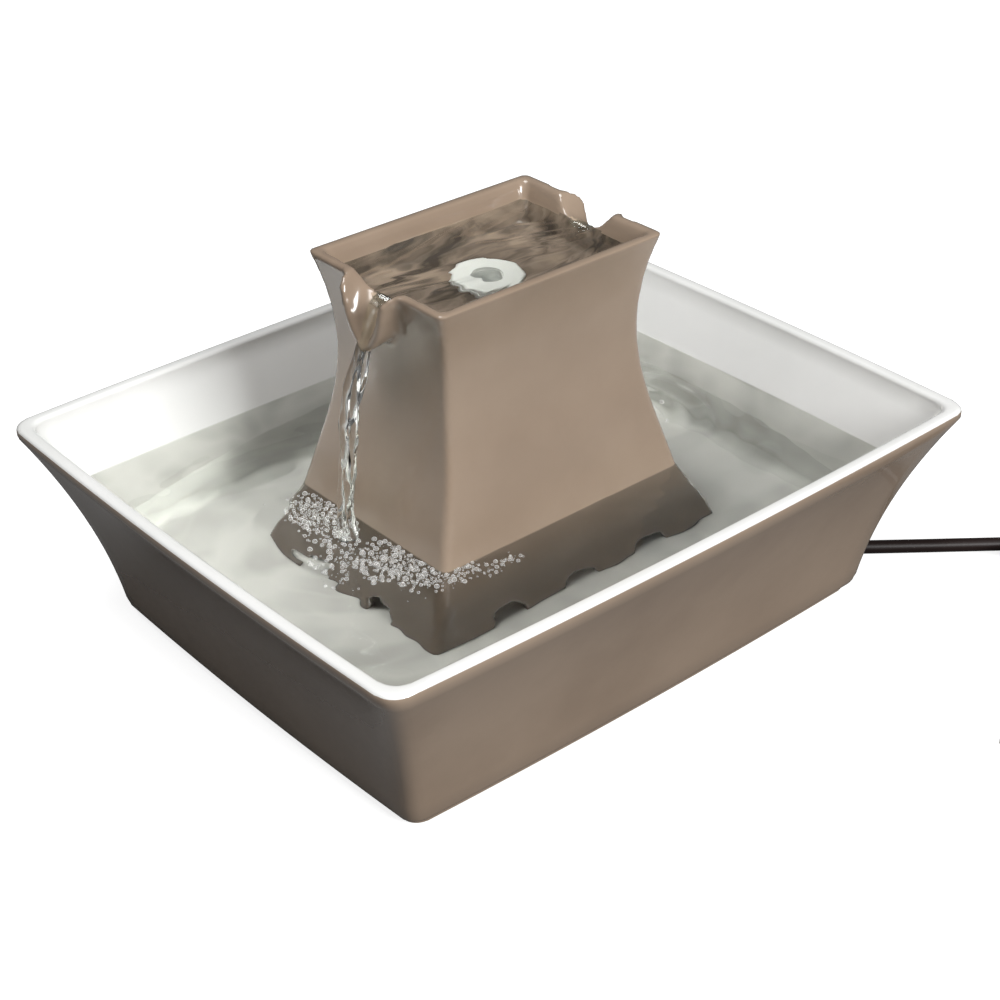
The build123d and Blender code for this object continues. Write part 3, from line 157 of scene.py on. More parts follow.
# Crest of a lip's edges: distance from the axis and drop from the tower's top.
LIP_CREST = (
    (0.0300, 0.0002),
    (0.0598, 0.0002),
    (0.0620, 0.0007),
    (0.0638, 0.0018),
    (0.0652, 0.0034),
    (0.0662, 0.0056),
    (0.0750, 0.0080),
)
# How far a lip's shoulders, its trough and its inner form reach over the tower's top.
SHOULDER_OVER = 0.001
TROUGH_OVER = 0.01
FORM_OVER = 0.004
CREST_CUTTER = (0.2, 0.1)   # top and width of the cutter that shapes the crest

# ---------------------------------------------------------------- flex
CORD = 0.0064
CORD_EXIT = (0.05734, -0.00639, 0.01687)
CORD_POINTS = [
    CORD_EXIT,
    (0.06770, -0.01515, 0.00330),
    (0.10769, -0.04684, 0.00330),
    (0.14561, -0.08098, 0.00330),
]
TAIL_POINTS = [
    (0.19240, -0.23193, 0.00450),
    (0.17240, -0.23193, 0.00860),
    (0.15640, -0.23193, 0.00860),
]
CORD_HEADING = math.radians(-40.2)
COIL_MIDDLE = 0.036
COIL_COLUMNS = 3
COIL_LAYERS = 2
COIL_STEPS = 14             # points to a turn
LANE_CHANGE = 0.6           # share of a turn after which the flex moves to the next lane


def pick_none():
    """Object mode with nothing selected."""
    if bpy.context.mode != "OBJECT":
        bpy.ops.object.mode_set(mode="OBJECT")
    bpy.ops.object.select_all(action="DESELECT")


def focus(piece):
    """Make one object the selected and active one."""
    pick_none()
    piece.select_set(True)
    bpy.context.view_layer.objects.active = piece


def new_piece(name):
    """Name the object that was just added."""
    piece = bpy.context.object
    piece.name = name
    piece.data.name = name
    return piece


def settle(piece):
    """Put the object's place into its mesh."""
    focus(piece)
    bpy.ops.object.transform_apply(location=True, rotation=True, scale=True)
    return piece


def apply_modifiers(piece):
    """Put the modifiers into the mesh, from first to last."""
    focus(piece)
    for modifier in list(piece.modifiers):
        bpy.ops.object.modifier_apply(modifier=modifier.name)


def smooth(piece, degrees=None):
    """Smooth shading, everywhere or up to an angle between faces."""
    focus(piece)
    if degrees is None:
        bpy.ops.object.shade_smooth()
    else:
        bpy.ops.object.shade_smooth_by_angle(angle=math.radians(degrees))
    return piece


def dress(piece, body, *finishes):
    """Give a piece its materials and the body it rides on."""
    piece.data.materials.clear()
    for finish in finishes:
        piece.data.materials.append(finish)
    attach(piece, body)


# ---------------------------------------------------------------- camera
def make_camera():
    turn = (Matrix.Rotation(CAMERA_AZIMUTH, 3, "Z")
            @ Matrix.Rotation(math.pi / 2 - CAMERA_RISE, 3, "X")
            @ Matrix.Rotation(CAMERA_ROLL, 3, "Z"))
    bpy.ops.object.camera_add(location=CAMERA_AT, rotation=turn.to_euler())
    camera = bpy.context.object
    camera.data.lens = LENS
    camera.data.sensor_width = 36.0
    camera.data.clip_start = 0.01
    bpy.context.scene.camera = camera


make_camera()


# ---------------------------------------------------------------- finishes
def finish(name, colour, roughness, **sockets):
    """Plain shader whose sockets are set by name."""
    material = bpy.data.materials.new(name)
    material.use_nodes = True
    shader = material.node_tree.nodes["Principled BSDF"]
    shader.inputs["Base Color"].default_value = (*colour, 1.0)
    shader.inputs["Roughness"].default_value = roughness
    for socket, value in sockets.items():
        shader.inputs[socket.replace("_", " ")].default_value = value
    return material


def tree_of(material):
    """Nodes and links of a material or world."""
    return material.node_tree.nodes, material.node_tree.links


def add_node(material, kind, **inputs):
    """New node of a material or world, with inputs set by name."""
    node = material.node_tree.nodes.new("ShaderNode" + kind)
    for name, value in inputs.items():
        node.inputs[name.replace("_", " ")].default_value = value
    return node


def tones(material, value, dark, light, low, high):
    """Colour that runs from dark to light while a socket's value runs from low to high."""
    links = material.node_tree.links
    ramp = add_node(material, "ValToRGB")
    for element, position, tone in zip(ramp.color_ramp.elements, (low, high), (dark, light)):
        element.position = position
        element.color = (*tone, 1)
    links.new(value, ramp.inputs["Fac"])
    return ramp.outputs["Color"]


def between(material, factor, first, second, output="Material Output"):
    """Surface that goes from the first shader to the second as the factor rises."""
    nodes, links = tree_of(material)
    mix = add_node(material, "MixShader")
    for source, socket in zip((factor, first, second), mix.inputs):
        links.new(source, socket)
    links.new(mix.outputs["Shader"], nodes[output].inputs["Surface"])


def noise_of(material, scale, detail=3.0, stretch=(1, 1, 1)):
    """Noise texture on object coordinates, stretched along the axes."""
    links = material.node_tree.links
    where = add_node(material, "TexCoord")
    mapping = add_node(material, "Mapping", Scale=stretch)
    texture = add_node(material, "TexNoise", Scale=scale, Detail=detail)
    links.new(where.outputs["Object"], mapping.inputs["Vector"])
    links.new(mapping.outputs["Vector"], texture.inputs["Vector"])
    return texture


def mottle(material, dark, light, scale, detail=3.0, stretch=(1, 1, 1), low=0.35, high=0.65):
    """Colour that drifts between two tones."""
    nodes, links = tree_of(material)
    texture = noise_of(material, scale, detail, stretch)
    colour = tones(material, texture.outputs["Fac"], dark, light, low, high)
    links.new(colour, nodes["Principled BSDF"].inputs["Base Color"])
    return texture


def uneven(material, scale, low, high, detail=2.0):
    """Roughness that drifts between two values."""
    nodes, links = tree_of(material)
    spread = add_node(material, "MapRange", To_Min=low, To_Max=high)
    links.new(noise_of(material, scale, detail).outputs["Fac"], spread.inputs["Value"])
    links.new(spread.outputs["Result"], nodes["Principled BSDF"].inputs["Roughness"])


def bumpy(material, scale, depth, detail=3.0, stretch=(1, 1, 1)):
    """Fine relief; depth in metres."""
    nodes, links = tree_of(material)
    bump = add_node(material, "Bump", Distance=depth)
    links.new(noise_of(material, scale, detail, stretch).outputs["Fac"], bump.inputs["Height"])
    links.new(bump.outputs["Normal"], nodes["Principled BSDF"].inputs["Normal"])


def object_height(material):
    """Height over the table of each point of the surface."""
    links = material.node_tree.links
    where = add_node(material, "TexCoord")
    split = add_node(material, "SeparateXYZ")
    links.new(where.outputs["Object"], split.inputs["Vector"])
    return split.outputs["Z"]


def painted_shade_below(material, level, tint):
    """Painted shade: multiply the colour by a tint, a colour or a socket, under a water level."""
    nodes, links = tree_of(material)
    colour = nodes["Principled BSDF"].inputs["Base Color"]
    edge = add_node(material, "MapRange", From_Min=level + SHADE_LINE_EDGE, From_Max=level - SHADE_LINE_EDGE)
    links.new(object_height(material), edge.inputs["Value"])
    shade_tint = add_node(material, "Mix")
    shade_tint.data_type = "RGBA"
    shade_tint.blend_type = "MULTIPLY"
    links.new(edge.outputs["Result"], shade_tint.inputs["Factor"])
    links.new(colour.links[0].from_socket, shade_tint.inputs[6])
    if isinstance(tint, tuple):
        shade_tint.inputs[7].default_value = (*tint, 1)
    else:
        links.new(tint, shade_tint.inputs[7])
    links.new(shade_tint.outputs[2], colour)


def caustics(material, scale, dark, light):
    """Painted net of light and shade that waves throw on what lies under them."""
    links = material.node_tree.links
    where = add_node(material, "TexCoord")
    sway = add_node(material, "TexNoise", Scale=16.0, Detail=2.0)
    shift = add_node(material, "Mix")
    shift.data_type = "RGBA"
    shift.blend_type = "LINEAR_LIGHT"
    shift.inputs["Factor"].default_value = 0.045
    cells = add_node(material, "TexVoronoi")
    cells.feature = "SMOOTH_F1"
    cells.inputs["Scale"].default_value = scale
    cells.inputs["Smoothness"].default_value = 0.35
    links.new(where.outputs["Object"], sway.inputs["Vector"])
    links.new(where.outputs["Object"], shift.inputs[6])
    links.new(sway.outputs["Color"], shift.inputs[7])
    links.new(shift.outputs[2], cells.inputs["Vector"])
    return tones(material, cells.outputs["Distance"], dark, light, 0.18, 0.72)


def make_taupe(name):
    """Glossy taupe glaze with a faint drift of tone and a soft orange-peel surface."""
    glaze = finish(name, (0.30, 0.225, 0.165), 0.16, Coat_Weight=0.6, Coat_Roughness=0.06)
    mottle(glaze, (0.275, 0.205, 0.150), (0.325, 0.247, 0.183), 14.0, 5.0)
    uneven(glaze, 60.0, 0.13, 0.24)
    bumpy(glaze, 90.0, 0.00012, 2.0)
    return glaze


def make_basin_shade():
    """Taupe glaze under the basin's moving water, painted dark as shade, with swirls of painted
    dark and pale glints.
    """
    glaze = finish("basin_painted_shade", (0.1, 0.08, 0.06), 0.2)
    texture = mottle(glaze, (0.05, 0.04, 0.031), (0.26, 0.20, 0.15), 24.0, 4.0, (1, 3.4, 1),
                     0.36, 0.66)
    texture.inputs["Distortion"].default_value = 1.3
    bumpy(glaze, 90.0, 0.00012, 2.0)
    return glaze


def make_white():
    """Glossy white glaze, a little warm, with painted shade and a painted caustic net under the
    water line.
    """
    glaze = finish("white_glaze", (0.80, 0.80, 0.77), 0.12, Coat_Weight=0.5, Coat_Roughness=0.05)
    mottle(glaze, (0.80, 0.805, 0.785), (0.86, 0.86, 0.845), 12.0, 4.0)
    bumpy(glaze, 70.0, 0.0001, 2.0)
    # Painted shade under the water line, netted with painted caustic light.
    painted_shade_below(glaze, WATER_LEVEL, caustics(glaze, 42.0, (0.46, 0.455, 0.43), (0.58, 0.575, 0.545)))
    return glaze


def make_clay():
    """Bare fired clay of the foot ring."""
    clay = finish("bare_clay", (0.62, 0.56, 0.48), 0.85)
    mottle(clay, (0.55, 0.49, 0.42), (0.68, 0.62, 0.54), 160.0, 6.0)
    bumpy(clay, 900.0, 0.00015, 4.0)
    return clay


def make_water():
    """Clear water that lets the light through to what lies under it."""
    water = finish("water", (0.985, 0.99, 0.985), 0.0, IOR=1.333, Transmission_Weight=1.0)
    path = add_node(water, "LightPath")
    clear = add_node(water, "BsdfTransparent", Color=(0.86, 0.88, 0.86, 1))
    body = water.node_tree.nodes["Principled BSDF"]
    between(water, path.outputs["Is Shadow Ray"], body.outputs["BSDF"], clear.outputs["BSDF"])
    return water


def make_foam():
    """Thin wet skin of bubbles: clear in the middle, pale round the edge."""
    foam = finish("bubble_skin", (0.95, 0.95, 0.94), 0.10)
    nodes, links = tree_of(foam)
    facing = add_node(foam, "LayerWeight", Blend=0.42)
    ring = add_node(foam, "MapRange", From_Min=0.25, From_Max=0.95, To_Min=0.14, To_Max=0.95)
    clear = add_node(foam, "BsdfTransparent")
    links.new(facing.outputs["Facing"], ring.inputs["Value"])
    between(foam, ring.outputs["Result"], clear.outputs["BSDF"],
            nodes["Principled BSDF"].outputs["BSDF"])
    bumpy(foam, 500.0, 0.00002, 1.0)
    return foam


def moulded(name, colour, roughness, grain=600.0, depth=0.00004, drift=0.12):
    """Moulded plastic or rubber with a fine grain."""
    plastic = finish(name, colour, roughness)
    dark = tuple(c * (1 - drift) for c in colour)
    light = tuple(min(1.0, c * (1 + drift)) for c in colour)
    mottle(plastic, dark, light, 30.0, 3.0)
    bumpy(plastic, grain, depth, 3.0)
    return plastic


def metal(name, colour, roughness, stretch=(1, 1, 1), scale=900.0, depth=0.00002):
    """Bare metal with a fine grain."""
    bare = finish(name, colour, roughness, Metallic=1.0)
    uneven(bare, 200.0, roughness * 0.8, roughness * 1.3)
    bumpy(bare, scale, depth, 2.0, stretch)
    return bare


TAUPE = make_taupe("taupe_glaze")
TOWER_GLAZE = make_taupe("tower_glaze")
# Painted shade: the tower's glaze is darker under the bowl's water line, where less light reaches
# it.
painted_shade_below(TOWER_GLAZE, WATER_LEVEL, (0.36, 0.36, 0.37))
BASIN_SHADE = make_basin_shade()
WHITE = make_white()
CLAY = make_clay()
WATER = make_water()
FOAM = make_foam()
NOZZLE_WHITE = moulded("white_plastic", (0.60, 0.61, 0.57), 0.34, 300.0, 0.00002, 0.05)
GREY = moulded("grey_plastic", (0.38, 0.39, 0.40), 0.45)
BLACK = moulded("black_plastic", (0.030, 0.030, 0.033), 0.42, 800.0, 0.00005)
CLEAR_RUBBER = moulded("clear_rubber", (0.70, 0.70, 0.66), 0.35, 200.0, 0.00003, 0.04)
CLEAR_RUBBER.node_tree.nodes["Principled BSDF"].inputs["Transmission Weight"].default_value = 0.35
RUBBER = moulded("black_rubber", (0.022, 0.022, 0.022), 0.55, 900.0, 0.00006)
FLEX = moulded("flex_skin", (0.013, 0.006, 0.005), 0.42, 500.0, 0.00003, 0.2)
CORE = metal("core_steel", (0.45, 0.44, 0.43), 0.42, (900, 1, 1), 1.0, 0.0001)
COPPER = metal("copper_wire", (0.80, 0.40, 0.22), 0.25, (1, 1, 1), 1200.0, 0.0001)
RESIN = moulded("cast_resin", (0.045, 0.045, 0.047), 0.15, 60.0, 0.0001)
FERRITE = moulded("ferrite", (0.11, 0.11, 0.115), 0.55, 700.0, 0.00004)
STEEL = metal("shaft_steel", (0.78, 0.78, 0.77), 0.14, (1, 40, 40), 30.0)
BRASS = metal("plated_brass", (0.80, 0.74, 0.58), 0.2)


def make_sponge():
    """Open-cell foam: its pits are painted near black as shade, between paler struts."""
    sponge = finish("pump_foam", (0.07, 0.07, 0.075), 0.9)
    nodes, links = tree_of(sponge)
    where = add_node(sponge, "TexCoord")
    cells = add_node(sponge, "TexVoronoi", Scale=700.0)
    bump = add_node(sponge, "Bump", Distance=0.0006)
    colour = tones(sponge, cells.outputs["Distance"], (0.008, 0.008, 0.008),
                   (0.11, 0.11, 0.12), 0.15, 0.6)
    links.new(where.outputs["Object"], cells.inputs["Vector"])
    links.new(cells.outputs["Distance"], bump.inputs["Height"])
    links.new(colour, nodes["Principled BSDF"].inputs["Base Color"])
    links.new(bump.outputs["Normal"], nodes["Principled BSDF"].inputs["Normal"])
    return sponge


SPONGE = make_sponge()
CARBON = moulded("carbon_fleece", (0.045, 0.045, 0.045), 0.8, 450.0, 0.0006, 0.7)

CAD_FINISHES = (
    (TAUPE, ("bowl",)),
    (TOWER_GLAZE, ("tower",)),
    (NOZZLE_WHITE, ("outlet_tube", "outlet_nozzle", "nozzle_nut", "impeller", "filter_caddy",
                    "filter_frame")),
    (CLEAR_RUBBER, ("nozzle_gasket", "volute_seal", "suction_cup_1", "suction_cup_2",
                    "suction_cup_3", "suction_cup_4")),
    (BLACK, ("pump_housing", "volute_cover", "intake_cover")),
    (GREY, ("flow_slider", "cord_tie")),
    (RUBBER, ("shaft_bush_front", "shaft_bush_rear", "cord_boot", "cord_gland", "plug_body",
              "plug_relief")),
    (FLEX, ("pump_cord", "cord", "cord_coil", "cord_tail")),
    (BRASS, ("plug_blade_1", "plug_blade_2")),
    (CORE, ("stator_core",)),
    (COPPER, ("stator_winding",)),
    (RESIN, ("stator_resin",)),
    (FERRITE, ("rotor_magnet",)),
    (STEEL, ("rotor_shaft",)),
    (CARBON, ("filter_media",)),
    (SPONGE, ("intake_foam",)),
)
for material, names in CAD_FINISHES:
    for name in names:
        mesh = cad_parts[name].data
        mesh.materials.clear()
        mesh.materials.append(material)


# ---------------------------------------------------------------- flex and coil
def coil_points():
    """Six turns beside and on each other, clockwise seen from above."""
    box_low, box_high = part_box("cord_coil")
    centre = ((box_low[0] + box_high[0]) / 2, (box_low[1] + box_high[1]) / 2)
    first_z = box_low[2] + CORD / 2
    start = math.pi / 2 + CORD_HEADING
    outer = COIL_MIDDLE + CORD * (COIL_COLUMNS - 1) / 2
    radii = [outer - CORD * column for column in range(COIL_COLUMNS)]
    lanes = [(radius, first_z) for radius in radii]
    lanes += [(radius, first_z + CORD) for radius in reversed(radii)]
    points = []
    total = COIL_COLUMNS * COIL_LAYERS * COIL_STEPS
    turn_back = start + math.pi / 2
    full = total + round(COIL_STEPS * turn_back / math.tau)
    for step in range(full):
        turn = step / COIL_STEPS
        lane = min(int(turn), len(lanes) - 1)
        share = min(turn - lane, 1.0)
        now, after = lanes[lane], lanes[min(lane + 1, len(lanes) - 1)]
        blend = min(1.0, max(0.0, (share - LANE_CHANGE) / (1 - LANE_CHANGE)))
        radius = now[0] + (after[0] - now[0]) * blend
        height = now[1] + (after[1] - now[1]) * blend
        angle = start - math.tau * turn
        points.append((centre[0] + radius * math.cos(angle),
                       centre[1] + radius * math.sin(angle), height))
    return points


def smooth_line(name, places, resolution):
    """Object with a smooth curve along places, from the first to the last."""
    curve = bpy.data.curves.new(name, "CURVE")
    curve.dimensions = "3D"
    spline = curve.splines.new("NURBS")
    spline.points.add(len(places) - 1)
    for point, place in zip(spline.points, places):
        point.co = (*place, 1.0)
    spline.order_u = 3
    spline.use_endpoint_u = True
    spline.resolution_u = resolution
    return bpy.data.objects.new(name, curve)


def make_flex():
    """One smooth line from the gland to the plug, with its coil."""
    flex = smooth_line("flex", CORD_POINTS + coil_points() + TAIL_POINTS, 8)
    flex.data.bevel_depth = CORD / 2
    flex.data.bevel_resolution = 5
    flex.data.use_fill_caps = True
    flex.data.materials.append(FLEX)
    bpy.context.scene.collection.objects.link(flex)
    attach(flex, "base")
    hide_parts("cord", "cord_coil", "cord_tail")


make_flex()


# ---------------------------------------------------------------- bowl
def wall_inset(height):
    """How far the bowl's outer wall lies inside the rim at a height."""
    rise = WALL_TOP - WALL_LOW
    chord = math.hypot(WALL_FLARE, rise)
    reach = math.sqrt(WALL_ARC**2 - chord**2 / 4)
    out = WALL_FLARE / 2 - reach * rise / chord
    up = WALL_LOW + rise / 2 - reach * WALL_FLARE / chord
    return out + math.sqrt(WALL_ARC**2 - (height - up)**2)


def spread(low, high, count):
    """Evenly spaced values from low to high."""
    return [low + (high - low) * i / (count - 1) for i in range(count)]


def quarter_turns(radius, start, count=5):
    """Steps (sideways, upwards) along a quarter circle about its middle."""
    angles = [start + math.pi / 2 * i / (count - 1) for i in range(count)]
    return [(radius * math.cos(angle), radius * math.sin(angle)) for angle in angles]


def quarter(inset, height, radius, start, count=5):
    """Quarter round of a profile about (inset, height); angle 0 points outwards."""
    return [(inset - side, height + up) for side, up in quarter_turns(radius, start, count)]


def select_edges(wanted):
    """In edit mode, select the edges that pass a test, and only these."""
    data = bpy.context.object.data
    for edge in bmesh.from_edit_mesh(data).edges:
        edge.select = wanted(edge)
    bmesh.update_edit_mesh(data)


def start_outline(half_x, half_y, height, corner, bow, cuts):
    """Bowed rectangle with round corners, open, ready to be extruded."""
    pick_none()
    bpy.ops.mesh.primitive_plane_add(size=2, location=(0, 0, height))
    bpy.ops.object.mode_set(mode="EDIT")
    bpy.ops.transform.resize(value=(half_x, half_y, 1))
    bpy.ops.mesh.bevel(offset=corner, segments=10, affect="VERTICES")
    bpy.ops.mesh.delete(type="ONLY_FACE")
    bpy.ops.mesh.select_mode(type="EDGE")
    select_edges(lambda edge: edge.calc_length() > 4 * corner)
    bpy.ops.mesh.subdivide(number_cuts=cuts)
    for vertex in bmesh.from_edit_mesh(bpy.context.object.data).verts:
        x, y = vertex.co.x, vertex.co.y
        if abs(x) > half_x - 1e-5:
            vertex.co.x += math.copysign(bow * (1 - (y / half_y)**2), x)
        if abs(y) > half_y - 1e-5:
            vertex.co.y += math.copysign(bow * (1 - (x / half_x)**2), y)
    bpy.ops.mesh.select_all(action="SELECT")
    bmesh.update_edit_mesh(bpy.context.object.data)


def extrude_to(before, after):
    """Carry the open edge from one (half length, half width, height) to the next."""
    bpy.ops.mesh.extrude_edges_move(
        TRANSFORM_OT_translate={"value": (0, 0, after[2] - before[2])})
    bpy.ops.transform.resize(value=(after[0] / before[0], after[1] / before[1], 1),
                             center_override=(0, 0, after[2]))


def close_with_face(border):
    """Fill the open edge, with a narrow border that keeps the flat part flat."""
    bpy.ops.mesh.edge_face_add()
    bpy.ops.mesh.inset(thickness=border)


def leave_closed():
    """Turn all faces of the edited mesh outwards and leave edit mode."""
    bpy.ops.mesh.select_all(action="SELECT")
    bpy.ops.mesh.normals_make_consistent(inside=False)
    bpy.ops.object.mode_set(mode="OBJECT")


def extrude_shell(name, profile, corner, bow=0.0, cuts=OUTLINE_CUTS):
    """Closed shell through a profile of (half length, half width, height)."""
    start_outline(*profile[0], corner, bow, cuts)
    close_with_face(corner / 3)
    select_edges(lambda edge: edge.is_boundary)
    for before, after in zip(profile, profile[1:]):
        extrude_to(before, after)
    close_with_face(corner / 3)
    leave_closed()
    return settle(new_piece(name))


def make_bowl_shell():
    """Bowl with its three glazes, without boss, hole or notch."""
    foot_in = FOOT_IN + FOOT_RING
    foot = [(foot_in, UNDERSIDE), (foot_in, FOOT_EDGE), (foot_in - FOOT_EDGE, 0),
            (FOOT_IN + FOOT_EDGE, 0), (FOOT_IN, FOOT_EDGE), (FOOT_IN, WALL_LOW)]
    outside = quarter(WALL_FLARE + FOOT_TURN, WALL_LOW + FOOT_TURN, FOOT_TURN, -math.pi / 2)
    outside += [(wall_inset(z), z) for z in spread(WALL_LOW + 0.005, WALL_TOP, 16)]
    outside += quarter(RIM_ROUND, BOWL_TOP - RIM_ROUND, RIM_ROUND, 0)
    inside = quarter(BOWL_WALL - RIM_ROUND, BOWL_TOP - RIM_ROUND, RIM_ROUND, math.pi / 2)
    inside += [(wall_inset(z) + BOWL_WALL, z)
               for z in spread(WALL_TOP, FLOOR + FLOOR_ROUND, 14)]
    floor_in = wall_inset(FLOOR + FLOOR_ROUND) + BOWL_WALL + FLOOR_ROUND
    inside += [(2 * floor_in - inset, height) for inset, height in quarter(
        floor_in, FLOOR + FLOOR_ROUND, FLOOR_ROUND, math.pi, 8)[1:]]
    profile = [(BOWL_HALF_X - inset, BOWL_HALF_Y - inset, height)
               for inset, height in foot + outside + inside]
    shell = extrude_shell("glazed_bowl", profile, BOWL_CORNER, FOOT_BOW)
    for glaze in (TAUPE, WHITE, CLAY):
        shell.data.materials.append(glaze)
    for face in shell.data.polygons:
        place, normal = face.center, face.normal
        inner = place.z > UNDERSIDE + 0.002 and (
            normal.z > 0.5 or normal.x * place.x + normal.y * place.y < 0)
        if inner:
            face.material_index = 1
        elif place.z < UNGLAZED:
            face.material_index = 2
    return smooth(shell, 50)


def oriented_block(reach, width, low, high, name):
    """Block along the flex: reach from and to, measured from the gland."""
    pick_none()
    bpy.ops.mesh.primitive_cube_add(size=1)
    block = new_piece(name)
    block.scale = (reach[1] - reach[0], width, high - low)
    block.location = ((reach[0] + reach[1]) / 2, 0, (low + high) / 2)
    return settle(block)


def turn_to_flex(piece, glaze):
    """Glaze a piece that was made along +X and turn it to the flex's line."""
    piece.data.materials.append(glaze)
    piece.rotation_euler = (0, 0, CORD_HEADING)
    piece.location = (*GLAND_PLACE, 0)
    return settle(piece)


def skin_over(build, rings):
    """Closed skin through rings of points, with a face over each end."""
    for before, after in zip(rings, rings[1:]):
        for step in range(len(before)):
            beside = (step + 1) % len(before)
            build.faces.new((before[step], before[beside], after[beside], after[step]))
    build.faces.new(rings[0])
    build.faces.new(rings[-1])


def as_piece(build, name):
    """Object with the mesh that was built, its faces turned outwards."""
    mesh = bpy.data.meshes.new(name)
    bmesh.ops.recalc_face_normals(build, faces=build.faces)
    build.to_mesh(mesh)
    build.free()
    piece = bpy.data.objects.new(name, mesh)
    bpy.context.scene.collection.objects.link(piece)
    return piece


def wedge(outline, width, name):
    """Side outline of (reach, height) pairs, thickened along Y."""
    build = bmesh.new()
    corners = [build.verts.new((reach, -width / 2, height)) for reach, height in outline]
    side = build.faces.new(corners)
    grown = bmesh.ops.extrude_face_region(build, geom=[side])
    moved = [v for v in grown["geom"] if isinstance(v, bmesh.types.BMVert)]
    bmesh.ops.translate(build, vec=(0, width, 0), verts=moved)
    return as_piece(build, name)


def cut(piece, tool, operation="DIFFERENCE"):
    """Boolean that is applied at once; the tool is removed."""
    modifier = piece.modifiers.new("cut", "BOOLEAN")
    modifier.operation = operation
    modifier.solver = "EXACT"
    modifier.object = tool
    apply_modifiers(piece)
    bpy.data.objects.remove(tool)


def make_boss():
    """Wedge on the bowl's floor that carries the gland."""
    low, high = FLOOR - BOSS_SINK, FLOOR + BOSS_RISE
    crest = BOSS_START + BOSS_RISE
    outline = [(BOSS_START - BOSS_SINK, low), (BOSS_START, FLOOR), (crest, high),
               (crest + BOSS_CREST, high), (BOSS_BACK, FLOOR), (BOSS_BACK + BOSS_SINK, low)]
    boss = wedge(outline, BOSS_WIDTH, "boss")
    bevel = boss.modifiers.new("round", "BEVEL")
    bevel.width = BOSS_ROUND
    bevel.segments = 4
    apply_modifiers(boss)
    return turn_to_flex(boss, WHITE)


def make_pocket():
    """Cutter for the pocket under the boss."""
    return turn_to_flex(wedge(POCKET, POCKET_WIDTH, "pocket"), TAUPE)


def make_notch():
    """Cutter for the flex's way out through the foot ring."""
    notch = oriented_block(NOTCH_REACH, NOTCH_WIDTH, *NOTCH_HEIGHTS, "notch")
    bevel = notch.modifiers.new("arch", "BEVEL")
    bevel.width = NOTCH_ROUND
    bevel.segments = 5
    apply_modifiers(notch)
    return turn_to_flex(notch, TAUPE)


def make_gland_hole():
    """Cutter for the gland's slanting hole."""
    pick_none()
    bpy.ops.mesh.primitive_cylinder_add(vertices=48, radius=GLAND_RADIUS, depth=GLAND_REACH)
    hole = new_piece("gland_hole")
    hole.rotation_euler = (0, GLAND_TILT, 0)
    hole.location = (0, 0, GLAND_HEIGHT)
    return turn_to_flex(settle(hole), WHITE)


def make_bowl():
    bowl = make_bowl_shell()
    cut(bowl, make_boss(), "UNION")
    cut(bowl, make_pocket())
    cut(bowl, make_gland_hole())
    cut(bowl, make_notch())
    smooth(bowl, 40)
    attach(bowl, "base")
    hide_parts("bowl")


make_bowl()


# ---------------------------------------------------------------- tower
def tower_half(side, height):
    """Half size of the tower at a height: arcs over and under the waist, then a skirt."""
    waist, upper_arc, lower_arc, slope = side
    if height >= TOWER_WAIST:
        return waist + upper_arc - math.sqrt(upper_arc**2 - (height - TOWER_WAIST)**2)
    turn = math.atan(slope)
    drop = TOWER_WAIST - height
    if drop <= lower_arc * math.sin(turn):
        return waist + lower_arc - math.sqrt(lower_arc**2 - drop**2)
    return waist + lower_arc * (1 - math.cos(turn)) + (drop - lower_arc * math.sin(turn)) * slope


def tower_ring(height, inset=0.0):
    """Half length, half width and height of the tower's outline."""
    return (tower_half(TOWER_SIDE_X, height) - inset, tower_half(TOWER_SIDE_Y, height) - inset,
            height)


def rounded(ring, turns):
    """Quarter round from a ring: each turn gives (sideways, upwards) from the ring."""
    return [(ring[0] + side, ring[1] + side, ring[2] + up) for side, up in turns]


def make_tower_shell():
    """Outside, basin and hollow of the tower, without lips, hole or arches."""
    profile = [tower_ring(z, TOWER_WALL) for z in spread(BASIN_UNDER, TOWER_FOOT, 16)]
    profile += [tower_ring(z) for z in spread(TOWER_FOOT, TOWER_TOP - TOWER_RIM, 36)]
    rim_half = tower_ring(TOWER_TOP)
    outer = (rim_half[0] - TOWER_RIM, rim_half[1] - TOWER_RIM, TOWER_TOP - TOWER_RIM)
    inner = (rim_half[0] - TOWER_WALL + TOWER_RIM, rim_half[1] - TOWER_WALL + TOWER_RIM, outer[2])
    profile += rounded(outer, quarter_turns(TOWER_RIM, 0)[1:])
    profile += rounded(inner, quarter_turns(TOWER_RIM, math.pi / 2))
    floor_turn = BASIN_FLOOR + BASIN_ROUND
    profile += [tower_ring(z, TOWER_WALL) for z in spread(TOWER_TOP - 0.003, floor_turn, 8)]
    low = tower_ring(floor_turn, TOWER_WALL + BASIN_ROUND)
    profile += rounded(low, [(side, -up) for side, up in quarter_turns(BASIN_ROUND, 0)[1:]])
    return extrude_shell("glazed_tower", profile, TOWER_CORNER, cuts=TOWER_CUTS)


def trough_line(x, bottom, half_width, belly, shoulder):
    """U-shaped line across a lip at a distance from the axis, from one side to the other."""
    turn = bottom + BELLY_SHARE * (TOWER_TOP - bottom)
    places = [(-half_width - shoulder, TOWER_TOP + SHOULDER_OVER),
              (-half_width, TOWER_TOP - shoulder), (-belly * half_width, turn), (0, bottom)]
    places += [(-y, z) for y, z in reversed(places[:-1])]
    padded = [places[0], *places, places[-1]]
    line = []
    for a, b, c, d in zip(padded, padded[1:], padded[2:], padded[3:]):
        for step in range(LINE_STEPS):
            t = step / LINE_STEPS
            line.append(Vector((x, *(
                0.5 * (2 * q + (r - p) * t + (2 * p - 5 * q + 4 * r - s) * t**2
                       + (3 * q - p - 3 * r + s) * t**3) for p, q, r, s in zip(a, b, c, d)))))
    line.append(Vector((x, *places[-1])))
    return line


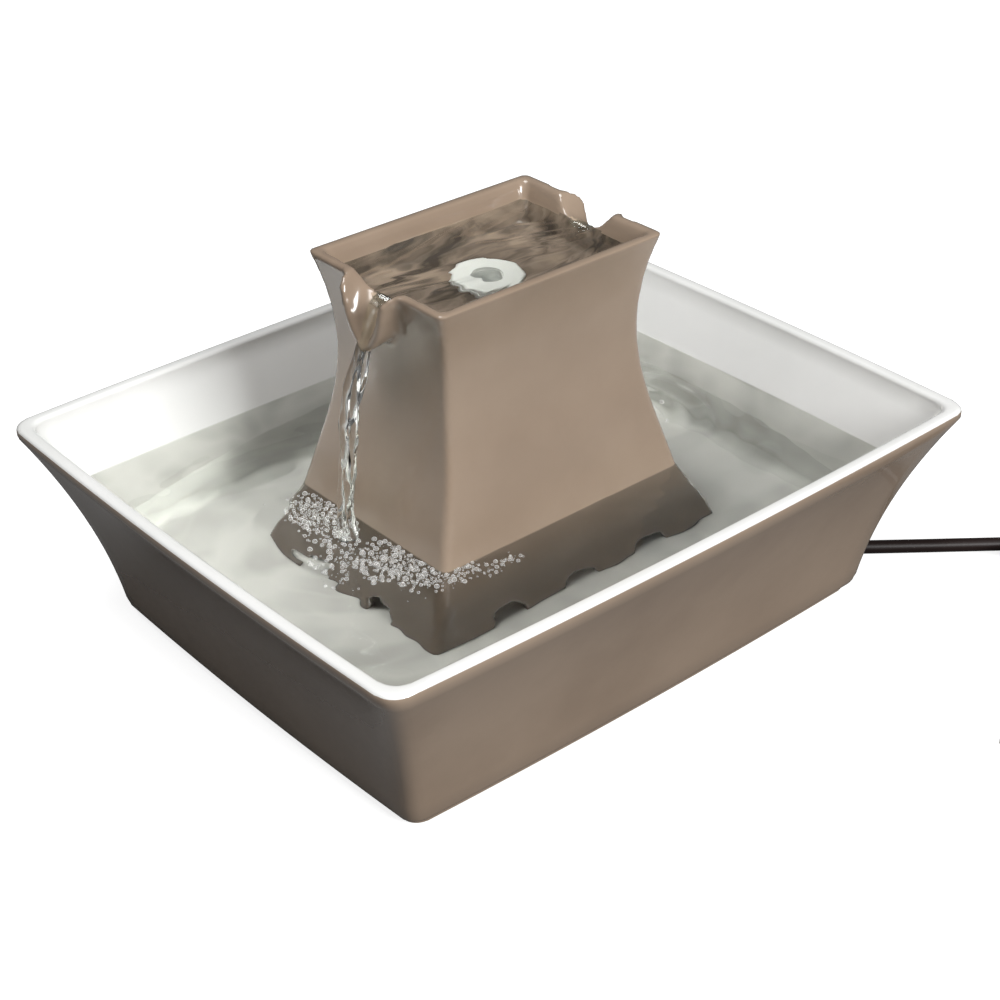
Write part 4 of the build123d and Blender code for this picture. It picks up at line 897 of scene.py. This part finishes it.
def trough(name, stations, shoulder):
    """Solid over a lip's lines on +X: a cutter, or the lip's body."""
    build = bmesh.new()
    rings = []
    top = TOWER_TOP + TROUGH_OVER
    for station in stations:
        line = trough_line(*station, shoulder)
        line += [Vector((place.x, place.y, top)) for place in (line[-1], line[0])]
        rings.append([build.verts.new(place) for place in line])
    skin_over(build, rings)
    return as_piece(build, name)


def turned_about(piece):
    """Carry a piece from the +X side to the -X side."""
    piece.rotation_euler = (0, 0, math.pi)
    return settle(piece)


def make_lip():
    """Body of the lip on +X, from inside the wall out to its tip."""
    lip = trough("lip", LIP_BODY, LIP_SHOULDER)
    inside = [tower_ring(z, TOWER_WALL - LIP_ROOT)
              for z in spread(BASIN_UNDER, TOWER_TOP + FORM_OVER, 9)]
    cut(lip, extrude_shell("basin_form", inside, TOWER_CORNER, cuts=TOWER_CUTS))
    crest = [(reach, TOWER_TOP - drop) for reach, drop in LIP_CREST]
    top, width = CREST_CUTTER
    above = [(crest[-1][0], top), (crest[0][0], top)]
    cut(lip, wedge(crest + above, width, "over_crest"))
    return lip


def make_channel():
    """Cutter for the lip's channel on +X."""
    return trough("channel", CHANNEL, CHANNEL_SHOULDER)


def arch_cutter(places):
    """Arched slots through both walls, open at the bottom, along Y."""
    pick_none()
    bpy.ops.mesh.primitive_cylinder_add(vertices=48, radius=1, depth=0.4,
                                        rotation=(math.pi / 2, 0, 0))
    arch = settle(new_piece("arch"))
    arch.scale = (ARCH_WIDTH / 2, 1, ARCH_HEIGHT)
    arch.location = (places[0], 0, TOWER_FOOT)
    focus(arch)
    bpy.ops.object.transform_apply(location=False, rotation=False, scale=True)
    row = arch.modifiers.new("row", "ARRAY")
    row.count = len(places)
    row.use_relative_offset = False
    row.use_constant_offset = True
    row.constant_offset_displace = (places[1] - places[0], 0, 0)
    apply_modifiers(arch)
    return settle(arch)


def near_lips(place):
    """Whether a point belongs to a lip, its root in the wall or its shoulders."""
    reach, half_width, height = LIP_ZONE
    return abs(place.x) > reach and abs(place.y) < half_width and place.z > height


def in_basin(place, normal):
    """Whether a face of the tower lies under the basin's water."""
    inward = normal.z > 0.5 or normal.x * place.x + normal.y * place.y < 0
    return (inward and abs(place.x) < BASIN_REACH
            and BASIN_FLOOR - 0.002 < place.z < BASIN_LEVEL)


def make_tower():
    """The tower under its glaze: every edge is a little soft, the lips' roots softer."""
    tower = make_tower_shell()
    cut(tower, make_lip(), "UNION")
    cut(tower, turned_about(make_lip()), "UNION")
    cut(tower, make_channel())
    cut(tower, turned_about(make_channel()))
    pick_none()
    bpy.ops.mesh.primitive_cylinder_add(vertices=64, radius=NOZZLE_HOLE, depth=0.03,
                                        location=(0, 0, BASIN_FLOOR))
    cut(tower, settle(new_piece("nozzle_hole")))
    cut(tower, arch_cutter(LONG_SIDE_ARCHES))
    side_arches = arch_cutter(SHORT_SIDE_ARCHES)
    side_arches.rotation_euler = (0, 0, math.pi / 2)
    cut(tower, settle(side_arches))
    remesh = tower.modifiers.new("skin", "REMESH")
    remesh.mode = "VOXEL"
    remesh.voxel_size = SKIN_VOXEL
    remesh.use_smooth_shade = True
    apply_modifiers(tower)
    lips = tower.vertex_groups.new(name="lips")
    lips.add([v.index for v in tower.data.vertices if near_lips(v.co)], 1.0, "REPLACE")
    for factor, rounds, but_lips in SOFTENING:
        soften = tower.modifiers.new("soften", "SMOOTH")
        soften.factor = factor
        soften.iterations = rounds
        soften.vertex_group = "lips"
        soften.invert_vertex_group = but_lips
    apply_modifiers(tower)
    smooth(tower)
    dress(tower, "tower", TOWER_GLAZE, BASIN_SHADE)
    # Painted shade on the basin's inner faces under its water.
    for face in tower.data.polygons:
        face.material_index = int(in_basin(face.center, face.normal))
    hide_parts("tower")


make_tower()


# ---------------------------------------------------------------- water
def round_corner(place, half_x, half_y, radius):
    """Carry a point of a square-cornered outline's inside to a round-cornered one."""
    over_x, over_y = abs(place.x) - half_x + radius, abs(place.y) - half_y + radius
    if over_x > 0 and over_y > 0:
        shrink = max(over_x, over_y) / math.hypot(over_x, over_y)
        place.x = math.copysign(half_x - radius + over_x * shrink, place.x)
        place.y = math.copysign(half_y - radius + over_y * shrink, place.y)


def water_block(name, upper, lower, radius, cuts):
    """Block of water whose top is a fine grid; upper and lower are half sizes and height."""
    pick_none()
    bpy.ops.mesh.primitive_grid_add(x_subdivisions=cuts[0], y_subdivisions=cuts[1], size=2)
    block = new_piece(name)
    block.scale = (upper[0], upper[1], 1)
    block.location = (0, 0, upper[2])
    settle(block)
    for vertex in block.data.vertices:
        round_corner(vertex.co, upper[0], upper[1], radius)
    bpy.ops.object.mode_set(mode="EDIT")
    select_edges(lambda edge: edge.is_boundary)
    extrude_to(upper, lower)
    bpy.ops.mesh.edge_face_add()
    leave_closed()
    return block


LANDING = 0.0775            # where each stream meets the water, along X
RING_HEIGHT = 0.0004        # rings round a landing: height, how far they run, and how close
RING_RUN = 0.050
RING_RATE = 520
DRIFT_HEIGHTS = (0.0007, 0.0003)


def bowl_ripple(x, y):
    """Height of the bowl's water over its level: rings round both landings, and drift."""
    height = 0.0
    for side in (-1, 1):
        reach = math.hypot(x - side * LANDING, y)
        height += RING_HEIGHT * math.exp(-reach / RING_RUN) * math.sin(reach * RING_RATE)
    drift = Vector((x * 30, y * 24, 3.1))
    height += DRIFT_HEIGHTS[0] * noise.noise(drift) + DRIFT_HEIGHTS[1] * noise.noise(drift * 2.7)
    return height


SWELL = (0.0012, 0.016)     # height and radius of the swell over the nozzle
CHOP_HEIGHTS = (0.0013, 0.0006)
CALM = (0.9, 0.023)         # how much of the chop the nozzle's swell calms, and its radius
PULL_FROM = 0.040           # lips draw the basin's water from here on, along X
PULL_RUN = 0.0133           # and fully after this much more
PULL_WIDTH = 0.0075
PULL_DIP = 0.0012           # by how much they lower it
PULL_OUT = 0.0045           # and how far they draw it over the lip


def basin_ripple(x, y):
    """Swell over the nozzle, fine chop all round and a dip towards both lips."""
    reach = math.hypot(x, y)
    height = SWELL[0] * math.exp(-(reach / SWELL[1])**2)
    swirl = Vector((x * 45 + 1.6 * math.sin(y * 90), y * 95, 1.7))
    chop = CHOP_HEIGHTS[0] * noise.noise(swirl) + CHOP_HEIGHTS[1] * noise.noise(swirl * 2.4)
    height += chop * (1 - CALM[0] * math.exp(-(reach / CALM[1])**4))
    return height - PULL_DIP * lip_pull(x, y)


def lip_pull(x, y):
    """How much a lip draws the basin's water, from 0 to 1."""
    run = min(1.0, max(0.0, (abs(x) - PULL_FROM) / PULL_RUN))
    return run * run * math.exp(-(y / PULL_WIDTH)**2)


def make_bowl_water():
    inset = wall_inset(WATER_LEVEL) + BOWL_WALL - WALL_SINK
    lowest = wall_inset(FLOOR) + BOWL_WALL + FLOOR_ROUND * 0.6
    upper = (BOWL_HALF_X - inset + BOW_SPARE, BOWL_HALF_Y - inset + BOW_SPARE, WATER_LEVEL)
    lower = (BOWL_HALF_X - lowest, BOWL_HALF_Y - lowest, FLOOR - WALL_SINK)
    water = water_block("bowl_water", upper, lower, BOWL_CORNER, (190, 160))
    for vertex in water.data.vertices:
        if vertex.co.z > WATER_LEVEL - 0.001:
            vertex.co.z += bowl_ripple(vertex.co.x, vertex.co.y)
    smooth(water, 40)
    dress(water, "base", WATER)


make_bowl_water()


def make_basin_water():
    water = water_block("basin_water", BASIN_WATER_TOP, BASIN_WATER_FLOOR,
                        BASIN_WATER_CORNER, (110, 80))
    for vertex in water.data.vertices:
        place = vertex.co
        if place.z > BASIN_LEVEL - 0.001:
            pull = lip_pull(place.x, place.y)
            place.z += basin_ripple(place.x, place.y)
            place.x += math.copysign(PULL_OUT * pull, place.x)
    smooth(water, 40)
    dress(water, "tower", WATER)


make_basin_water()


# Side view of a stream, from the basin over the lip and down: distance from the axis, height,
# half width and half thickness of the sheet, and how far its strands have parted, from 0 to 1.
STREAM = (
    (0.0520, 0.1690, 0.0070, 0.0016, 0.0),
    (0.0560, 0.1676, 0.0062, 0.0015, 0.0),
    (0.0600, 0.1622, 0.0052, 0.0013, 0.1),
    (0.0632, 0.1565, 0.0046, 0.0012, 0.3),
    (0.0660, 0.1510, 0.0044, 0.0014, 0.7),
    (0.0680, 0.1445, 0.0052, 0.0018, 1.0),
    (0.0702, 0.1370, 0.0056, 0.0022, 1.0),
    (0.0728, 0.1290, 0.0056, 0.0026, 1.0),
    (0.0752, 0.1170, 0.0052, 0.0028, 1.0),
    (0.0769, 0.1030, 0.0048, 0.0027, 1.0),
    (0.0782, 0.0890, 0.0046, 0.0027, 1.0),
    (0.0791, 0.0770, 0.0048, 0.0030, 1.0),
    (0.0795, 0.0665, 0.0056, 0.0036, 1.0),
)
STRANDS = 3
AROUND = 14                 # points round a strand
TWIST = 55.0                # radians of twist to a metre of fall
TWIST_FROM = 0.152          # height from which the rope twists
STRAND_SLIP = 0.62          # how far the strands move off the line, in the rope's half sizes
STRAND_SWELL = 0.5          # how uneven a strand's girth is


def stream_line(side):
    """Places along a stream's middle, with the sizes of STREAM at each."""
    carrier = smooth_line("stream_path", [(side * station[0], 0, station[1])
                                          for station in STREAM], 7)
    line = bpy.data.meshes.new_from_object(carrier)
    places = [vertex.co.copy() for vertex in line.vertices]
    bpy.data.objects.remove(carrier)
    sizes = []
    for index in range(len(places)):
        share = index / (len(places) - 1) * (len(STREAM) - 1)
        low = min(int(share), len(STREAM) - 2)
        blend = share - low
        sizes.append([a * (1 - blend) + b * blend
                      for a, b in zip(STREAM[low][2:], STREAM[low + 1][2:])])
    return places, sizes


def strand_ring(build, place, ahead, size, strand, side):
    """Points round one strand of the rope at a place on its line."""
    across = Vector((0, 1, 0))
    out = across.cross(ahead).normalized()
    wide, thick, parted = size
    fall = max(0.0, TWIST_FROM - place.z)
    phase = math.tau * strand / STRANDS + TWIST * fall + 0.8 * side
    slip = STRAND_SLIP * parted
    middle = (place + across * (wide * slip * math.cos(phase))
              + out * (thick * slip * math.sin(phase)))
    share = 1 - 0.5 * parted
    ring = []
    for step in range(AROUND):
        angle = math.tau * step / AROUND
        swell = 1 + parted * STRAND_SWELL * noise.noise(
            Vector((math.cos(angle), math.sin(angle) + 7 * strand, place.z * 150 + side)))
        ring.append(build.verts.new(middle + across * (wide * share * swell * math.cos(angle))
                                    + out * (thick * share * swell * math.sin(angle))))
    return ring


def make_stream(side, name):
    """Rope of three strands of water that part under the lip and twist as they fall."""
    places, sizes = stream_line(side)
    build = bmesh.new()
    for strand in range(STRANDS):
        rings = []
        for index, place in enumerate(places):
            after, before = min(index + 1, len(places) - 1), max(index - 1, 0)
            ahead = (places[after] - places[before]).normalized()
            rings.append(strand_ring(build, place, ahead, sizes[index], strand, side))
        skin_over(build, rings)
    stream = as_piece(build, name)
    smooth(stream)
    dress(stream, "tower", WATER)


make_stream(-1, "falling_water_left")
make_stream(1, "falling_water_right")


# Bubbles: centre, spread along X and Y, count and largest radius of each patch.
FOAM_PATCHES = (
    ((-0.0775, 0.0235), (0.0095, 0.0125), 620, 0.0012),
    ((-0.0830, 0.0080), (0.0080, 0.0110), 160, 0.0012),
    ((-0.0900, -0.0150), (0.0080, 0.0110), 130, 0.0014),
    ((-0.0770, -0.0310), (0.0095, 0.0130), 620, 0.0014),
    ((-0.0660, -0.0500), (0.0130, 0.0060), 330, 0.0012),
    ((-0.0480, -0.0600), (0.0120, 0.0030), 60, 0.0010),
    ((-0.1010, -0.0180), (0.0060, 0.0120), 40, 0.0010),
    ((0.0820, 0.0020), (0.0100, 0.0160), 160, 0.0014),
)
LEAST_BUBBLE = 0.3          # share of a patch's largest radius
BUBBLE_GAP = 0.82           # least distance of two bubbles, in sums of their radii
BUBBLE_RISE = 0.25          # how far a middle lies over the water, in radii
BUBBLE_UNDER = 0.45         # how deep its lower half is, against a full ball
SMALL_BUBBLE = 0.0008       # fewer faces up to this radius


def make_bubbles():
    """Bubbles that lie half sunk in the water, each a small closed ball."""
    random.seed(12)
    places = []
    for centre, spread_of, count, largest in FOAM_PATCHES:
        for _ in range(count):
            x = random.gauss(centre[0], spread_of[0] / 1.6)
            y = random.gauss(centre[1], spread_of[1] / 1.6)
            radius = largest * random.uniform(LEAST_BUBBLE, 1.0)**1.6
            outside = (abs(x) > tower_half(TOWER_SIDE_X, WATER_LEVEL) + radius
                       or abs(y) > tower_half(TOWER_SIDE_Y, WATER_LEVEL) + radius)
            free = all(math.hypot(x - px, y - py) > BUBBLE_GAP * (radius + pr)
                       for px, py, pr in places)
            if outside and free:
                places.append((x, y, radius))
    build = bmesh.new()
    for x, y, radius in places:
        level = WATER_LEVEL + bowl_ripple(x, y) + radius * BUBBLE_RISE
        fresh = bmesh.ops.create_icosphere(build, radius=radius,
                                           subdivisions=2 if radius > SMALL_BUBBLE else 1,
                                           matrix=Matrix.Translation((x, y, level)))
        for vertex in fresh["verts"]:
            if vertex.co.z < level:
                vertex.co.z = level + (vertex.co.z - level) * BUBBLE_UNDER
    bubbles = as_piece(build, "water_bubbles")
    smooth(bubbles)
    dress(bubbles, "base", FOAM)


make_bubbles()


# ---------------------------------------------------------------- studio
MIDDLE = (0, 0, 0.08)
GROUND_GLOW = 0.84          # lifts the ground to white where the camera sees it
GROUND_BOUNCE = 0.18        # grey of the ground for all other rays
SKY = 0.10                  # soft light from all round


def make_studio():
    pick_none()
    bpy.ops.mesh.primitive_plane_add(size=12, location=(0, 0, -0.0004))
    ground = new_piece("ground")
    white = finish("studio_white", (0.50, 0.50, 0.50), 0.9, Specular_IOR_Level=0.0)
    nodes, links = tree_of(white)
    dim = add_node(white, "BsdfDiffuse", Color=(GROUND_BOUNCE, GROUND_BOUNCE, GROUND_BOUNCE, 1))
    glow = add_node(white, "Emission", Color=(1, 1, 1, 1), Strength=GROUND_GLOW)
    add = add_node(white, "AddShader")
    links.new(nodes["Principled BSDF"].outputs["BSDF"], add.inputs[0])
    links.new(glow.outputs["Emission"], add.inputs[1])
    path = add_node(white, "LightPath")
    between(white, path.outputs["Is Camera Ray"], dim.outputs["BSDF"], add.outputs["Shader"])
    ground.data.materials.append(white)

    world = bpy.data.worlds.new("studio")
    bpy.context.scene.world = world
    world.use_nodes = True
    nodes = world.node_tree.nodes
    light = nodes["Background"]
    light.inputs["Color"].default_value = (1, 1, 1, 1)
    light.inputs["Strength"].default_value = SKY
    backdrop = add_node(world, "Background", Color=(1, 1, 1, 1), Strength=1.0)
    path = add_node(world, "LightPath")
    between(world, path.outputs["Is Camera Ray"], light.outputs["Background"],
            backdrop.outputs["Background"], "World Output")


def lamp(name, place, size, power):
    """Soft box that looks at the fountain's middle."""
    aim = (Vector(MIDDLE) - Vector(place)).to_track_quat("-Z", "Y")
    bpy.ops.object.light_add(type="AREA", location=place, rotation=aim.to_euler())
    light = bpy.context.object
    light.name = name
    light.data.shape = "RECTANGLE"
    light.data.size, light.data.size_y = size
    light.data.energy = power


make_studio()
lamp("key_box", (0.02, -2.15, 1.22), (0.9, 0.8), 58)
lamp("top_box", (-0.48, 0.06, 1.62), (0.9, 0.7), 18)

bpy.context.scene.view_settings.view_transform = "Standard"
